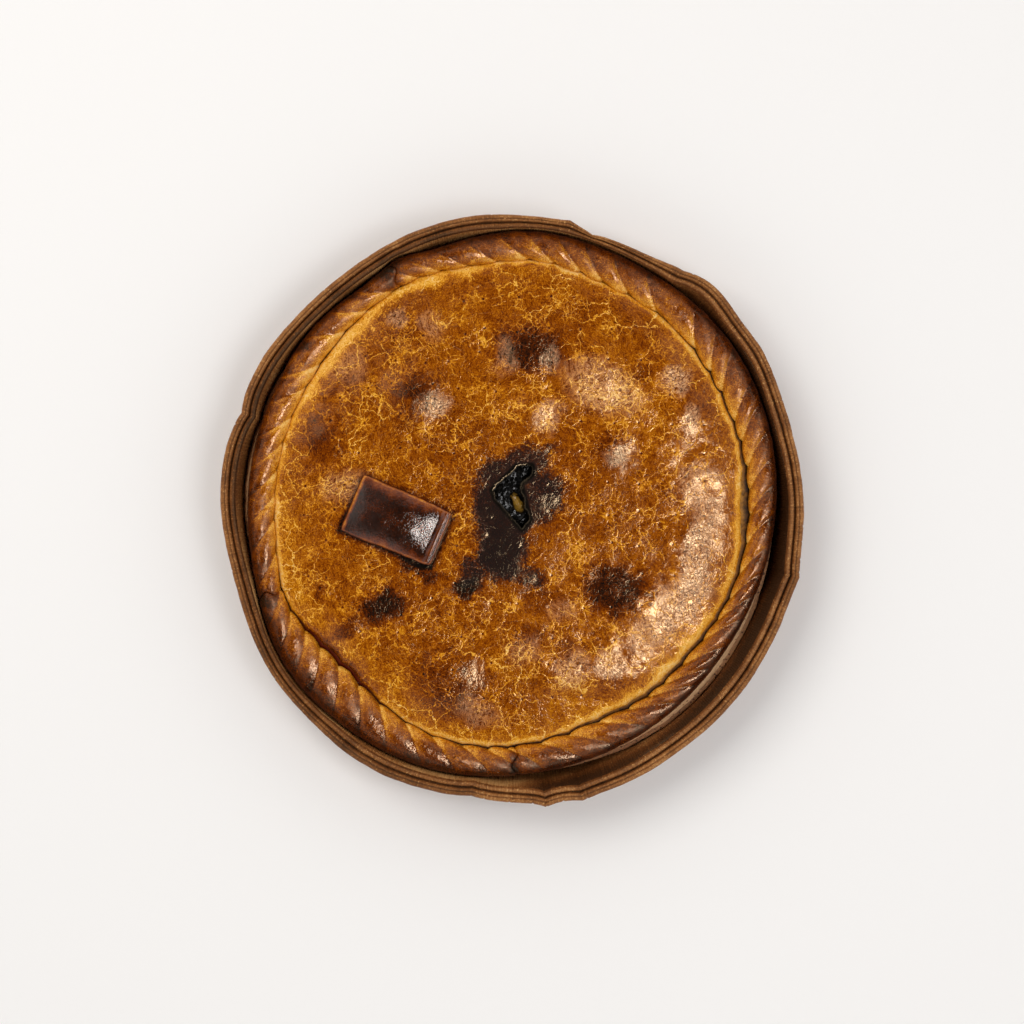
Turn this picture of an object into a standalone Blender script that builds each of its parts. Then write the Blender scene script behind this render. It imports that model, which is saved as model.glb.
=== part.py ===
"""A round savoury pie with a twisted rope edge, in the paper case it was baked in.

Metres, +Z up. The origin is on the flat base of the case, under the middle of the lid.
Angles are in degrees, counter-clockwise from +X, seen from above.
"""
import math

import bmesh
import bpy

MM = 0.001
GAP = 0.3 * MM

# The paper case: it is bent out of round, so its rim is a circle with swells and corners.
CASE_RADIUS = 161.7 * MM
CASE_SHIFT_X = -0.9 * MM
CASE_SHIFT_Y = -2.2 * MM
CASE_HEIGHT = 34.6 * MM
CASE_PAPER = 0.9 * MM
CASE_FLARE = 5.2 * MM
CASE_LIP_WIDTH = 7.8 * MM
CASE_LIP_HEIGHT = 4.3 * MM
CASE_FOOT_ROUND = 2.2 * MM
CASE_WALL_LEVELS = (2.8 * MM, 14.0 * MM, 24.5 * MM)
# How much of the rim's bends is left at the foot.
CASE_FOOT_BEND = 0.35
CASE_STEPS = 108
# The lip's section: how far across from the wall to the rim, and millimetres below the top.
# It is a flat band inside, a groove, and a rolled edge outside.
CASE_LIP = (
    (0.00, 2.8),
    (0.13, 1.3),
    (0.35, 1.1),
    (0.41, 1.9),
    (0.48, 0.9),
    (0.66, 0.0),
    (0.90, 1.3),
    (1.00, 2.5),
    (0.87, 4.0),
    (0.17, 4.2),
)
# angle, half width in degrees, height in millimetres
CASE_SWELLS = (
    (32, 6, 3.3),
    (48, 6, 6.1),
    (64, 7, -1.8),
    (98, 12, 2.5),
    (132, 11, -2.2),
    (195, 10, -4.0),
    (222, 12, -0.9),
    (241, 7, 1.2),
    (288, 9, 2.3),
    (315, 16, 1.2),
)
CASE_CORNERS = (
    (54, 3.0, -1.2),
    (73.5, 3.0, -2.7),
    (78.5, 2.5, 2.2),
    (161, 4.0, -3.6),
    (262, 4.0, -2.3),
    (276.5, 2.0, 2.7),
    (283.5, 2.5, 1.8),
    (346, 4.0, 2.6),
)

# The rope edge: its outer side and the seam that it makes with the lid.
ROPE_OUTER = 147.2 * MM
ROPE_OUTER_SWELLS = (
    (40, 22, 5.0),
    (86, 14, 5.8),
    (115, 4, 3.9),
    (138, 8, 1.8),
    (215, 12, 5.4),
    (245, 20, 6.6),
    (328, 20, -4.9),
)
SEAM = 131.3 * MM
SEAM_SWELLS = (
    (50, 10, 2.1),
    (85, 10, 4.8),
    (112, 9, 4.5),
    (130, 9, 2.1),
    (202, 7, 4.4),
    (226, 7, -2.4),
    (258, 12, 3.5),
    (292, 10, -3.2),
    (320, 10, -2.9),
)
SEAM_CRACK = 1.1 * MM
# The lid has shrunk away from the rope on its right side.
WIDE_CRACK = (0, 6, -3.0)

ROPE_TURN = 6.5
ROPE_LOBES = 3
RINGS_PER_TURN = 4
POINTS_PER_LOBE = 4
ROPE_GROOVE = 0.21
ROPE_RISE = 7.4 * MM
ROPE_DROP = 5.2 * MM
ROPE_END = 8.0 * MM
ROPE_END_SIZE = 0.55
ROPE_CREASE = 80.0
# The edge is made of three lengths, each with its first and last angle.
ROPES = {
    "rope_right": (-88.9, 115.4),
    "rope_left": (118.0, 199.0),
    "rope_lower": (200.3, 270.4),
}

# The crust: lid, side and base are one body.
CRUST_BOTTOM = CASE_PAPER + GAP
CRUST_FOOT_ROUND = 2.2 * MM
CASE_CLEARANCE = 0.8 * MM
LEDGE = 17.2 * MM
SIDE_INSET = 3.6 * MM
SIDE_TAPER = 2.6 * MM
# The pie's side bulges out past the rope on its lower right. The bulge's section is an
# arch that starts at the foot and would end FLANK_SPAN above it.
FLANK = (317, 31, 10.6)
FLANK_SPAN = 26.0 * MM
DOME_TOP = 33.4 * MM
DOME_FALL = 3.0 * MM
SHOULDER_RADIUS = 108.0 * MM
SHOULDER_FALL = 2.4 * MM
LID_BEVEL_WIDTH = 4.5 * MM
LID_BEVEL_FALL = 2.6 * MM
CRUST_STEPS = 96
LID_RINGS = 14
# Below 1, the rings of the lid lie closer together towards its edge.
LID_RING_POWER = 0.85
# The soft lumps on the lid: x, y, radius and height in millimetres. Each one fades out
# at MOUND_REACH times its radius.
MOUND_REACH = 1.6
LUMPS = (
    (10, 88, 17, 3.2),
    (-54, 61, 14, 3.8),
    (-105, 39, 10, 1.6),
    (54, 34, 12, 1.7),
    (61, -49, 15, 2.4),
    (98, -30, 20, 0.8),
    (-93, -70, 9, 2.4),
    (-38, -97, 17, 2.8),
    (4, -84, 13, 1.8),
    (22, -91, 11, 2.2),
    (42, -92, 11, 1.6),
    (42, 74, 16, 2.6),
    (12, 54, 9, 2.0),
    (89, 80, 11, 3.4),
    (97, 57, 12, 2.4),
)
# The lifted flap of crust beside the vent.
FLAP = (15, 6, 9, 1.6)

# The vent: an arrow-shaped opening, its corners in millimetres.
VENT = (
    (-10.5, 8.7),
    (2.6, 21.4),
    (10.7, 21.9),
    (10.7, 17.8),
    (4.4, 12.3),
    (5.6, 6.9),
    (7.2, 0.5),
    (9.4, -7.5),
    (5.3, -12.1),
    (-8.8, 3.9),
)
VENT_DEPTH = 9.5 * MM
VENT_CUT_ABOVE = 10.0 * MM
FILLING_TOP = 28.2 * MM
FILLING_INSET = 0.75 * MM
FILLING_WAVE = 0.5 * MM
FILLING_WAVE_LENGTH = 13.0 * MM
FILLING_LUMP = (3.0, 1.9, 4.2, 3.0)

# The dough tag: a rectangle of dough that was laid on the lid.
TAG_LENGTH = 54.5 * MM
TAG_WIDTH = 34.0 * MM
TAG_X = -63.8 * MM
TAG_Y = -8.3 * MM
TAG_ANGLE = -22.7
TAG_THICKNESS = 2.2 * MM
TAG_CROWN = 2.8 * MM
TAG_RIM_RISE = 1.6 * MM
TAG_CORNER = 1.6 * MM
TAG_TAPER = 0.03
TAG_LIFT = 0.5 * MM
TAG_TOP_SIZE = 0.965
TAG_CUTS_ALONG = 9
TAG_CUTS_ACROSS = 5
# The higher these powers, the closer the rounding, the fall and the rise stay to the edge.
TAG_CORNER_POWER = 10
TAG_CROWN_POWER = 4
TAG_RIM_POWER = 8


def swell(angle, centre, width, height):
    """A soft swell of an outline round one angle."""
    away = (angle - centre + 180.0) % 360.0 - 180.0
    return height * MM * math.exp(-0.5 * (away / width) ** 2)


def corner(angle, centre, width, height):
    """A fold of the paper: sharp at its angle, fading to both sides."""
    away = (angle - centre + 180.0) % 360.0 - 180.0
    return height * MM * math.exp(-abs(away) / width)


def outline(angle, mean, swells):
    return mean + sum(swell(angle, *row) for row in swells)


def case_outer(angle):
    """The rim's outer edge, measured from the origin."""
    turn = math.radians(angle)
    shift = CASE_SHIFT_X * math.cos(turn) + CASE_SHIFT_Y * math.sin(turn)
    folds = sum(corner(angle, *row) for row in CASE_CORNERS)
    return outline(angle, CASE_RADIUS, CASE_SWELLS) + folds + shift


def rope_outer(angle):
    return outline(angle, ROPE_OUTER, ROPE_OUTER_SWELLS)


def seam(angle):
    return outline(angle, SEAM, SEAM_SWELLS)


def lid_edge(angle):
    return seam(angle) - SEAM_CRACK + swell(angle, *WIDE_CRACK)


def mound(x, y, row):
    """A round lump, level at its top and at its foot."""
    centre_x, centre_y, radius, height = (value * MM for value in row)
    away = math.hypot(x - centre_x, y - centre_y) / (MOUND_REACH * radius)
    return height * (1.0 - away ** 2) ** 2 if away < 1.0 else 0.0


def lid_height(x, y):
    """The top of the lid: a low dome with a round shoulder and soft lumps."""
    angle = math.degrees(math.atan2(y, x))
    radius = math.hypot(x, y)
    edge = lid_edge(angle)
    dome = DOME_TOP - DOME_FALL * (radius / SHOULDER_RADIUS) ** 2
    past = min(1.0, max(0.0, (radius - SHOULDER_RADIUS) / (edge - SHOULDER_RADIUS)))
    bevel = min(1.0, max(0.0, (radius - edge + LID_BEVEL_WIDTH) / LID_BEVEL_WIDTH))
    lumps = sum(mound(x, y, row) for row in LUMPS + (FLAP,)) * (1.0 - past ** 2)
    return dome + lumps - SHOULDER_FALL * past ** 3 - LID_BEVEL_FALL * bevel


def flank(angle, height):
    """How far the side of the pie bulges at one place."""
    return swell(angle, *FLANK) * math.sin(math.pi * height / FLANK_SPAN)


def crust_side(angle, height):
    """The side of the pie under the rope, a little narrower at its foot."""
    share = (LEDGE - height) / LEDGE
    return rope_outer(angle) - SIDE_INSET - SIDE_TAPER * share + flank(angle, height)


def wall_inner(angle, height):
    """The inner face of the case: it flares, and it never runs into the pie."""
    share = height / CASE_HEIGHT
    bend = CASE_FOOT_BEND + (1.0 - CASE_FOOT_BEND) * share
    rim = CASE_RADIUS + bend * (case_outer(angle) - CASE_RADIUS)
    flared = rim - CASE_LIP_WIDTH - CASE_FLARE * (1.0 - share)
    rope_share = min(1.0, max(0.0, 2.5 * height / LEDGE - 1.5))
    side = crust_side(angle, min(height, LEDGE))
    pie = side + rope_share * max(0.0, rope_outer(angle) - side)
    return max(flared, pie + CASE_CLEARANCE)


def material(name, colour, roughness):
    """A plain Principled material for one sub-part."""
    made = bpy.data.materials.new(name)
    made.use_nodes = True
    shader = made.node_tree.nodes["Principled BSDF"]
    shader.inputs["Base Color"].default_value = (*colour, 1.0)
    shader.inputs["Roughness"].default_value = roughness
    shader.inputs["Metallic"].default_value = 0.0
    made.diffuse_color = (*colour, 1.0)
    return made


def new_collection(name):
    made = bpy.data.collections.new(name)
    bpy.context.scene.collection.children.link(made)
    return made


def applied(item):
    """Turn an object with modifiers, or a curve, into a plain mesh of triangles."""
    graph = bpy.context.evaluated_depsgraph_get()
    mesh = bpy.data.meshes.new_from_object(item.evaluated_get(graph))
    mesh.name = item.name
    cage = bmesh.new()
    cage.from_mesh(mesh)
    bmesh.ops.remove_doubles(cage, verts=cage.verts, dist=0.01 * MM)
    bmesh.ops.recalc_face_normals(cage, faces=cage.faces)
    bmesh.ops.triangulate(cage, faces=cage.faces, quad_method="SHORT_EDGE")
    cage.to_mesh(mesh)
    cage.free()
    made = bpy.data.objects.new(item.name, mesh)
    made.matrix_world = item.matrix_world
    for collection in item.users_collection:
        collection.objects.link(made)
    name = item.name
    bpy.data.objects.remove(item)
    made.name = name
    return made


def turned(name, profile, steps, collection):
    """Turn a profile of (radius, height) points about Z."""
    mesh = bpy.data.meshes.new(name)
    points = [(radius, 0.0, height) for radius, height in profile]
    edges = [(index, index + 1) for index in range(len(points) - 1)]
    mesh.from_pydata(points, edges, [])
    item = bpy.data.objects.new(name, mesh)
    collection.objects.link(item)
    screw = item.modifiers.new("Turn", "SCREW")
    screw.steps = steps
    screw.render_steps = steps
    screw.use_merge_vertices = True
    screw.merge_threshold = 0.01 * MM
    return applied(item)


def reshape(item, formula):
    """Move every vertex by a formula of its angle, radius and height."""
    for vertex in item.data.vertices:
        x, y, height = vertex.co
        radius = math.hypot(x, y)
        if radius < 0.01 * MM:
            continue
        turn = math.atan2(y, x)
        radius, height = formula(math.degrees(turn), radius, height)
        vertex.co = (radius * math.cos(turn), radius * math.sin(turn), height)


def finish(item, paint, sharp_angle=50.0):
    """Give an object its material and smooth shading."""
    item.data.materials.clear()
    item.data.materials.append(paint)
    item.data.shade_smooth()
    item.data.set_sharp_from_angle(angle=math.radians(sharp_angle))


def make_case(parts):
    """The paper case: a flared wall that ends in a flat band and a rolled edge."""
    wall = CASE_RADIUS - CASE_LIP_WIDTH
    foot = wall - CASE_FLARE

    def straight(height):
        return foot + CASE_FLARE * height / CASE_HEIGHT

    profile = [(0.0, CASE_PAPER), (foot - CASE_FOOT_ROUND, CASE_PAPER)]
    profile += [(straight(level), level) for level in CASE_WALL_LEVELS]
    profile += [(wall + across * CASE_LIP_WIDTH, CASE_HEIGHT - depth * MM) for across, depth in CASE_LIP]
    profile += [(straight(level) + CASE_PAPER, level) for level in reversed(CASE_WALL_LEVELS)]
    profile += [(foot - CASE_FOOT_ROUND + CASE_PAPER, 0.0), (0.0, 0.0)]
    item = turned("paper_case", profile, CASE_STEPS, parts)
    lowest = CASE_WALL_LEVELS[0]
    highest = CASE_HEIGHT - CASE_LIP[0][1] * MM

    def bend(angle, radius, height):
        """Follow the bent rim, and push the wall out where the pie fills the case."""
        level = min(max(height, lowest), highest)
        inner = wall_inner(angle, level)
        if height > CASE_HEIGHT - CASE_LIP_HEIGHT:
            across = (radius - wall) / CASE_LIP_WIDTH
            return inner + across * (case_outer(angle) - inner), height
        return radius + inner - straight(level), height

    reshape(item, bend)
    finish(item, material("kraft_paper", (0.27, 0.16, 0.08), 0.85))


def make_crust(parts, cutters):
    """Lid, side and base of the pie as one body, with the vent cut into it."""
    lid = SEAM - SEAM_CRACK
    side = ROPE_OUTER - SIDE_INSET
    profile = [(0.0, DOME_TOP)]
    for ring in range(1, LID_RINGS):
        share = ring / (LID_RINGS - 1)
        profile.append(((lid - LID_BEVEL_WIDTH) * share ** LID_RING_POWER, DOME_TOP))
    profile += [
        (lid, DOME_TOP),
        (lid, LEDGE),
        (side, LEDGE),
        (side - 0.5 * SIDE_TAPER, 0.5 * LEDGE),
        (side - SIDE_TAPER, CRUST_BOTTOM + CRUST_FOOT_ROUND),
        (side - SIDE_TAPER - CRUST_FOOT_ROUND, CRUST_BOTTOM),
        (0.0, CRUST_BOTTOM),
    ]
    item = turned("crust", profile, CRUST_STEPS, parts)

    def bake(angle, radius, height):
        """Follow the seam and the rope, and raise the lid to its dome and lumps."""
        if radius > lid + GAP:
            return radius + rope_outer(angle) - ROPE_OUTER + flank(angle, height), height
        if height < LEDGE - GAP:
            return radius, height
        radius *= lid_edge(angle) / lid
        if height < DOME_TOP - GAP:
            return radius, height
        turn = math.radians(angle)
        return radius, lid_height(radius * math.cos(turn), radius * math.sin(turn))

    reshape(item, bake)
    cutter = outline_solid("vent_cutter", VENT, 0.0, cutters)
    for vertex in cutter.data.vertices:
        below = vertex.co.z < 0.0
        vertex.co.z = DOME_TOP - VENT_DEPTH if below else DOME_TOP + VENT_CUT_ABOVE
    cutter.hide_render = True
    cutter.display_type = "WIRE"
    cut = item.modifiers.new("Vent", "BOOLEAN")
    cut.operation = "DIFFERENCE"
    cut.object = cutter
    finish(item, material("baked_crust", (0.42, 0.19, 0.045), 0.42))


def outline_solid(name, corners, inset, collection):
    """A plate of the outline in millimetres, drawn in by inset: half above z = 0, half below."""
    curve = bpy.data.curves.new(name, "CURVE")
    curve.dimensions = "2D"
    curve.fill_mode = "BOTH"
    curve.extrude = MM
    spline = curve.splines.new("POLY")
    spline.points.add(len(corners) - 1)
    spline.use_cyclic_u = True
    count = len(corners)
    for index, point in enumerate(spline.points):
        before = corners[index - 1]
        here = corners[index]
        after = corners[(index + 1) % count]
        x, y = offset_corner(before, here, after, inset / MM)
        point.co = (x * MM, y * MM, 0.0, 1.0)
    item = bpy.data.objects.new(name, curve)
    collection.objects.link(item)
    return applied(item)


def offset_corner(before, here, after, inset):
    """Move a corner inwards, so that both its edges shift by inset.

    The outline runs clockwise, so its inside is on the right of each edge.
    """
    normals = []
    for start, end in ((before, here), (here, after)):
        run = (end[0] - start[0], end[1] - start[1])
        length = math.hypot(*run)
        normals.append((run[1] / length, -run[0] / length))
    (ax, ay), (bx, by) = normals
    scale = inset / (1.0 + ax * bx + ay * by)
    return here[0] + (ax + bx) * scale, here[1] + (ay + by) * scale


def make_filling(parts):
    """The filling that shows in the vent, with one piece that stands proud."""
    item = outline_solid("filling", VENT, FILLING_INSET, parts)
    bottom = DOME_TOP - VENT_DEPTH + GAP
    cage = bmesh.new()
    cage.from_mesh(item.data)
    bmesh.ops.triangulate(cage, faces=cage.faces)
    top_edges = [edge for edge in cage.edges if all(v.co.z > 0.0 for v in edge.verts)]
    bmesh.ops.subdivide_edges(cage, edges=top_edges, cuts=2, use_grid_fill=True)
    bmesh.ops.triangulate(cage, faces=cage.faces)
    for vertex in cage.verts:
        if vertex.co.z < 0.0:
            vertex.co.z = bottom
            continue
        x, y = vertex.co.x, vertex.co.y
        turn = 2.0 * math.pi / FILLING_WAVE_LENGTH
        wave = FILLING_WAVE * math.sin(turn * x) * math.cos(turn * y)
        vertex.co.z = FILLING_TOP + wave + mound(x, y, FILLING_LUMP)
    cage.to_mesh(item.data)
    cage.free()
    finish(item, material("filling", (0.33, 0.22, 0.05), 0.35))


def make_rope_section(collection):
    """The section of the rope: lobes that meet in sharp grooves."""
    curve = bpy.data.curves.new("rope_section", "CURVE")
    curve.dimensions = "2D"
    spline = curve.splines.new("POLY")
    count = ROPE_LOBES * POINTS_PER_LOBE
    spline.points.add(count - 1)
    spline.use_cyclic_u = True
    for index, point in enumerate(spline.points):
        turn = 2.0 * math.pi * index / count
        crest = abs(math.cos(0.5 * ROPE_LOBES * turn))
        reach = 1.0 - ROPE_GROOVE * (1.0 - crest)
        point.co = (reach * math.cos(turn), reach * math.sin(turn), 0.0, 1.0)
    section = bpy.data.objects.new("rope_section", curve)
    collection.objects.link(section)
    section.hide_render = True
    section.display_type = "WIRE"
    return section


def rope_place(angle, first, last):
    """Middle radius, half width and fullness of a rope, which narrows to its ends."""
    inner = seam(angle) + GAP
    outer = rope_outer(angle)
    to_end = min(angle - first, last - angle) * math.radians(1.0) * ROPE_OUTER
    share = max(0.0, min(1.0, to_end / ROPE_END))
    fullness = ROPE_END_SIZE + (1.0 - ROPE_END_SIZE) * math.sqrt(1.0 - (1.0 - share) ** 2)
    return 0.5 * (outer + inner), 0.5 * (outer - inner) * fullness, fullness


def make_rope(name, first, last, section, paint, parts):
    """One length of twisted dough, laid on the ledge round the lid."""
    curve = bpy.data.curves.new(name, "CURVE")
    curve.dimensions = "3D"
    curve.twist_mode = "Z_UP"
    curve.bevel_mode = "OBJECT"
    curve.bevel_object = section
    curve.use_fill_caps = True
    spline = curve.splines.new("POLY")
    steps = round((last - first) * RINGS_PER_TURN / ROPE_TURN)
    spline.points.add(steps)
    for index, point in enumerate(spline.points):
        angle = first + (last - first) * index / steps
        turn = math.radians(angle)
        middle, half, _ = rope_place(angle, first, last)
        point.co = (middle * math.cos(turn), middle * math.sin(turn), 0.0, 1.0)
        point.radius = half
        point.tilt = math.radians(angle * 360.0 / (ROPE_LOBES * ROPE_TURN))
    item = bpy.data.objects.new(name, curve)
    parts.objects.link(item)
    item = applied(item)

    def settle(angle, radius, height):
        """Press the round rope flat on the ledge."""
        along = (angle - first + ROPE_TURN) % 360.0 + first - ROPE_TURN
        _, half, fullness = rope_place(along, first, last)
        level = LEDGE + GAP + ROPE_DROP * fullness
        reach = ROPE_RISE if height > 0.0 else ROPE_DROP
        return radius, max(LEDGE + GAP, level + height / half * reach * fullness)

    reshape(item, settle)
    finish(item, paint, ROPE_CREASE)


def make_tag(parts):
    """The rectangle of dough on the lid: a soft pillow with a rim along its right end."""
    cage = bmesh.new()
    bmesh.ops.create_cube(cage, size=1.0)
    long_edges = [e for e in cage.edges if abs(e.verts[0].co.x - e.verts[1].co.x) > 0.5]
    bmesh.ops.subdivide_edges(cage, edges=long_edges, cuts=TAG_CUTS_ALONG, use_grid_fill=True)
    cross_edges = [e for e in cage.edges if abs(e.verts[0].co.y - e.verts[1].co.y) > 0.5]
    bmesh.ops.subdivide_edges(cage, edges=cross_edges, cuts=TAG_CUTS_ACROSS, use_grid_fill=True)
    turn = math.radians(TAG_ANGLE)
    for vertex in cage.verts:
        along = 2.0 * vertex.co.x
        across = 2.0 * vertex.co.y
        top = vertex.co.z > 0.0
        size = TAG_TOP_SIZE if top else 1.0
        short_x = 1.0 - TAG_CORNER / TAG_LENGTH * abs(across) ** TAG_CORNER_POWER
        short_y = 1.0 - TAG_CORNER / TAG_WIDTH * abs(along) ** TAG_CORNER_POWER
        short_y -= TAG_TAPER * along
        right = 0.5 * TAG_LENGTH * along * size * short_x
        ahead = 0.5 * TAG_WIDTH * across * size * short_y
        x = TAG_X + right * math.cos(turn) - ahead * math.sin(turn)
        y = TAG_Y + right * math.sin(turn) + ahead * math.cos(turn)
        height = lid_height(x, y) + TAG_LIFT
        if top:
            crown = (1.0 - along ** TAG_CROWN_POWER) * (1.0 - across ** TAG_CROWN_POWER)
            rim = max(0.0, along) ** TAG_RIM_POWER
            height += TAG_THICKNESS + TAG_CROWN * crown + TAG_RIM_RISE * rim
        vertex.co = (x, y, height)
    bmesh.ops.triangulate(cage, faces=cage.faces)
    mesh = bpy.data.meshes.new("dough_tag")
    cage.to_mesh(mesh)
    cage.free()
    item = bpy.data.objects.new("dough_tag", mesh)
    parts.objects.link(item)
    finish(item, material("dark_dough", (0.06, 0.03, 0.015), 0.3))


def main():
    for item in list(bpy.data.objects):
        bpy.data.objects.remove(item)
    parts = new_collection("round_pie")
    cutters = new_collection("cutters")
    make_case(parts)
    make_crust(parts, cutters)
    section = make_rope_section(cutters)
    paint = material("rope_crust", (0.34, 0.13, 0.03), 0.38)
    for name, (first, last) in ROPES.items():
        make_rope(name, first, last, section, paint, parts)
    make_tag(parts)
    make_filling(parts)


main()
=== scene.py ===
"""Looks for the round savoury pie with a twisted rope edge, in its paper baking case.

Metres, +Z up. The photograph looks straight down: +X is its right and +Y its top.
Angles are in degrees, counter-clockwise from +X. A row of numbers for a place on the pie
is in millimetres.
"""

import math

import bpy
import numpy as np
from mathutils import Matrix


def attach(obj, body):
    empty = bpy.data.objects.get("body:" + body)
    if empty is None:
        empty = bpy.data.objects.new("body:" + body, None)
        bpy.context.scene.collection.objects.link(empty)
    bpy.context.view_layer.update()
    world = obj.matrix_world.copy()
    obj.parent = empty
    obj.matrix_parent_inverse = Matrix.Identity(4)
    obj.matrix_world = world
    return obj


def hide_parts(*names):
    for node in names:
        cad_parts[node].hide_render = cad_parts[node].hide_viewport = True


MM = 0.001
TURN = 360.0

# The paper case.
CASE_RADIUS = 161.7 * MM
CASE_SHIFT_X = -0.9 * MM
CASE_SHIFT_Y = -2.2 * MM
CASE_HEIGHT = 34.6 * MM
CASE_PAPER = 0.9 * MM
CASE_FLARE = 5.2 * MM
CASE_LIP_WIDTH = 7.8 * MM
CASE_FOOT_ROUND = 2.2 * MM
CASE_FOOT_BEND = 0.35
CASE_CLEARANCE = 0.8 * MM
# Where the wall leans in to the pie: angle, width and how far at its foot.
WALL_LEAN = (317, 22, 9.0)
CASE_SWELLS = (
    (32, 6, 3.3), (48, 6, 6.1), (64, 7, -1.8), (98, 12, 2.5), (132, 11, -2.2), (195, 10, -4.0),
    (222, 12, -0.9), (241, 7, 1.2), (288, 9, 2.3), (315, 16, 1.2), (2, 7, 0.6),
)
CASE_CORNERS = (
    (54, 3.0, -1.2), (73.5, 3.0, -2.7), (78.5, 2.5, 2.2), (161, 4.0, -3.6), (262, 4.0, -2.3),
    (276.5, 2.0, 2.7), (283.5, 2.5, 1.8), (346, 4.0, 2.6),
)
CASE_RIBS = 720
SAMPLES_PER_RIB = 4
RIB_DEPTH = 0.14 * MM

# The rope edge and the seam.
ROPE_OUTER = 147.2 * MM
ROPE_OUTER_SWELLS = (
    (40, 22, 5.0), (86, 14, 5.8), (115, 4, 3.9), (138, 8, 1.8), (215, 12, 5.4), (245, 20, 6.6),
    (328, 20, -3.5),
)
SEAM = 131.3 * MM
SEAM_SWELLS = (
    (50, 10, 2.1), (85, 10, 4.8), (112, 9, 4.5), (130, 9, 2.1), (202, 7, 4.4), (226, 7, -2.4),
    (258, 12, 3.5), (292, 10, -3.2), (320, 10, -2.9),
)
ROPE_RISE = 7.4 * MM
ROPE_DROP = 5.2 * MM
ROPE_END = 4.0 * MM
ROPE_END_SIZE = 0.82
ROPES = {
    "rope_right": (-89.4, 116.9),
    "rope_left": (116.7, 200.05),
    "rope_lower": (199.9, 270.7),
}

# The crust.
GAP = 0.3 * MM
CRUST_BOTTOM = CASE_PAPER + GAP
CRUST_FOOT_ROUND = 2.2 * MM
LEDGE = 17.2 * MM
SIDE_INSET = 3.6 * MM
SIDE_TAPER = 2.6 * MM
FLANK = (317, 31, 9.2)
FLANK_SPAN = 26.0 * MM
DOME_TOP = 33.4 * MM
DOME_FALL = 1.2 * MM
SHOULDER = 92.0 * MM
SHOULDER_FALL = 5.6 * MM
EDGE_ROUND = 2.6 * MM
EDGE_FALL = 1.1 * MM
MOUND_REACH = 1.6
LUMPS = (
    (10, 88, 17, 2.5), (-54, 61, 14, 3.8), (-105, 39, 10, 1.6), (54, 34, 12, 1.2),
    (66, -54, 15, 1.5), (98, -30, 20, 0.8), (-93, -70, 9, 2.4), (-38, -97, 17, 2.8),
    (4, -84, 13, 1.8), (22, -91, 11, 2.2), (42, -92, 11, 1.6), (42, 74, 16, 2.6),
    (12, 54, 9, 2.0), (89, 80, 11, 3.4), (97, 57, 12, 2.4),
)
FLAP = (15, 6, 9, 1.6)
VENT = (
    (-10.5, 8.7), (2.6, 21.4), (10.7, 21.9), (10.7, 17.8), (4.4, 12.3), (5.6, 6.9), (7.2, 0.5),
    (9.4, -7.5), (5.3, -12.1), (-8.8, 3.9),
)
VENT_DEPTH = 9.0 * MM
VENT_REACH = 27.0 * MM
VENT_STEEP = 0.9
FILLING_TOP = 28.2 * MM

# The dough tag.
TAG_LENGTH = 54.5 * MM
TAG_WIDTH = 34.0 * MM
TAG_X = -63.8 * MM
TAG_Y = -8.3 * MM
TAG_ANGLE = -22.7
TAG_THICKNESS = 2.2 * MM
TAG_CROWN = 4.2 * MM
TAG_RIM_RISE = 1.6 * MM
TAG_LIFT = 0.5 * MM

# Baking marks on the lid, and one painted shadow under the tag's lower edge: x, y, half
# length, half width, the long side's angle, and how much darker the crust is there, on a
# scale from 0 for raw dough to 1 for char.
BROWN_SPOTS = (
    (10.5, 86, 21, 16, 0, 0.24),
    (-54, 65, 15, 9, 0, 0.22),
    (-54, 58, 17, 14, 0, 0.10),
    (-105, 39, 14, 11, -30, 0.14),
    (56, 33, 12, 11, 0, 0.18),
    (58, -47, 22, 16, -10, 0.34),
    (-73, -55, 14, 10, 8, 0.33),
    (-91, -67, 13, 6, 38, 0.24),
    (-107.5, -47.5, 4.5, 3, 40, 0.20),
    (-24, -46, 10, 5.5, 15, 0.34),
    (-32, -100, 26, 19, -10, 0.12),
    (72.5, 73.5, 6, 6, 0, 0.10),
    # Painted shadow under the tag's lower edge.
    (-50, -36, 15, 5, -23, 0.26),
    (14, -50, 14, 10, 0, 0.12),
    (10, -72, 9, 6, 0, 0.10),
)
# Places where the glaze is crackled most.
CRACKLE_SPOTS = (
    (-40, 104, 12, 8, 0, 0.6),
    (-91, 77, 11, 8, 40, 0.6),
    (52, 66, 24, 15, -20, 1.0),
    (-92, 11, 15, 11, 0, 0.8),
    (3, -85, 15, 11, 0, 0.9),
    (34, -98, 12, 9, 0, 1.0),
    (50, -82, 10, 8, 0, 0.9),
    (-15, -112, 11, 7, 0, 0.6),
    (16, 48, 8, 13, 0, 0.6),
    (-80, -30, 22, 14, 0, 0.3),
    (-38, -72, 30, 18, 20, 0.2),
)
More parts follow.
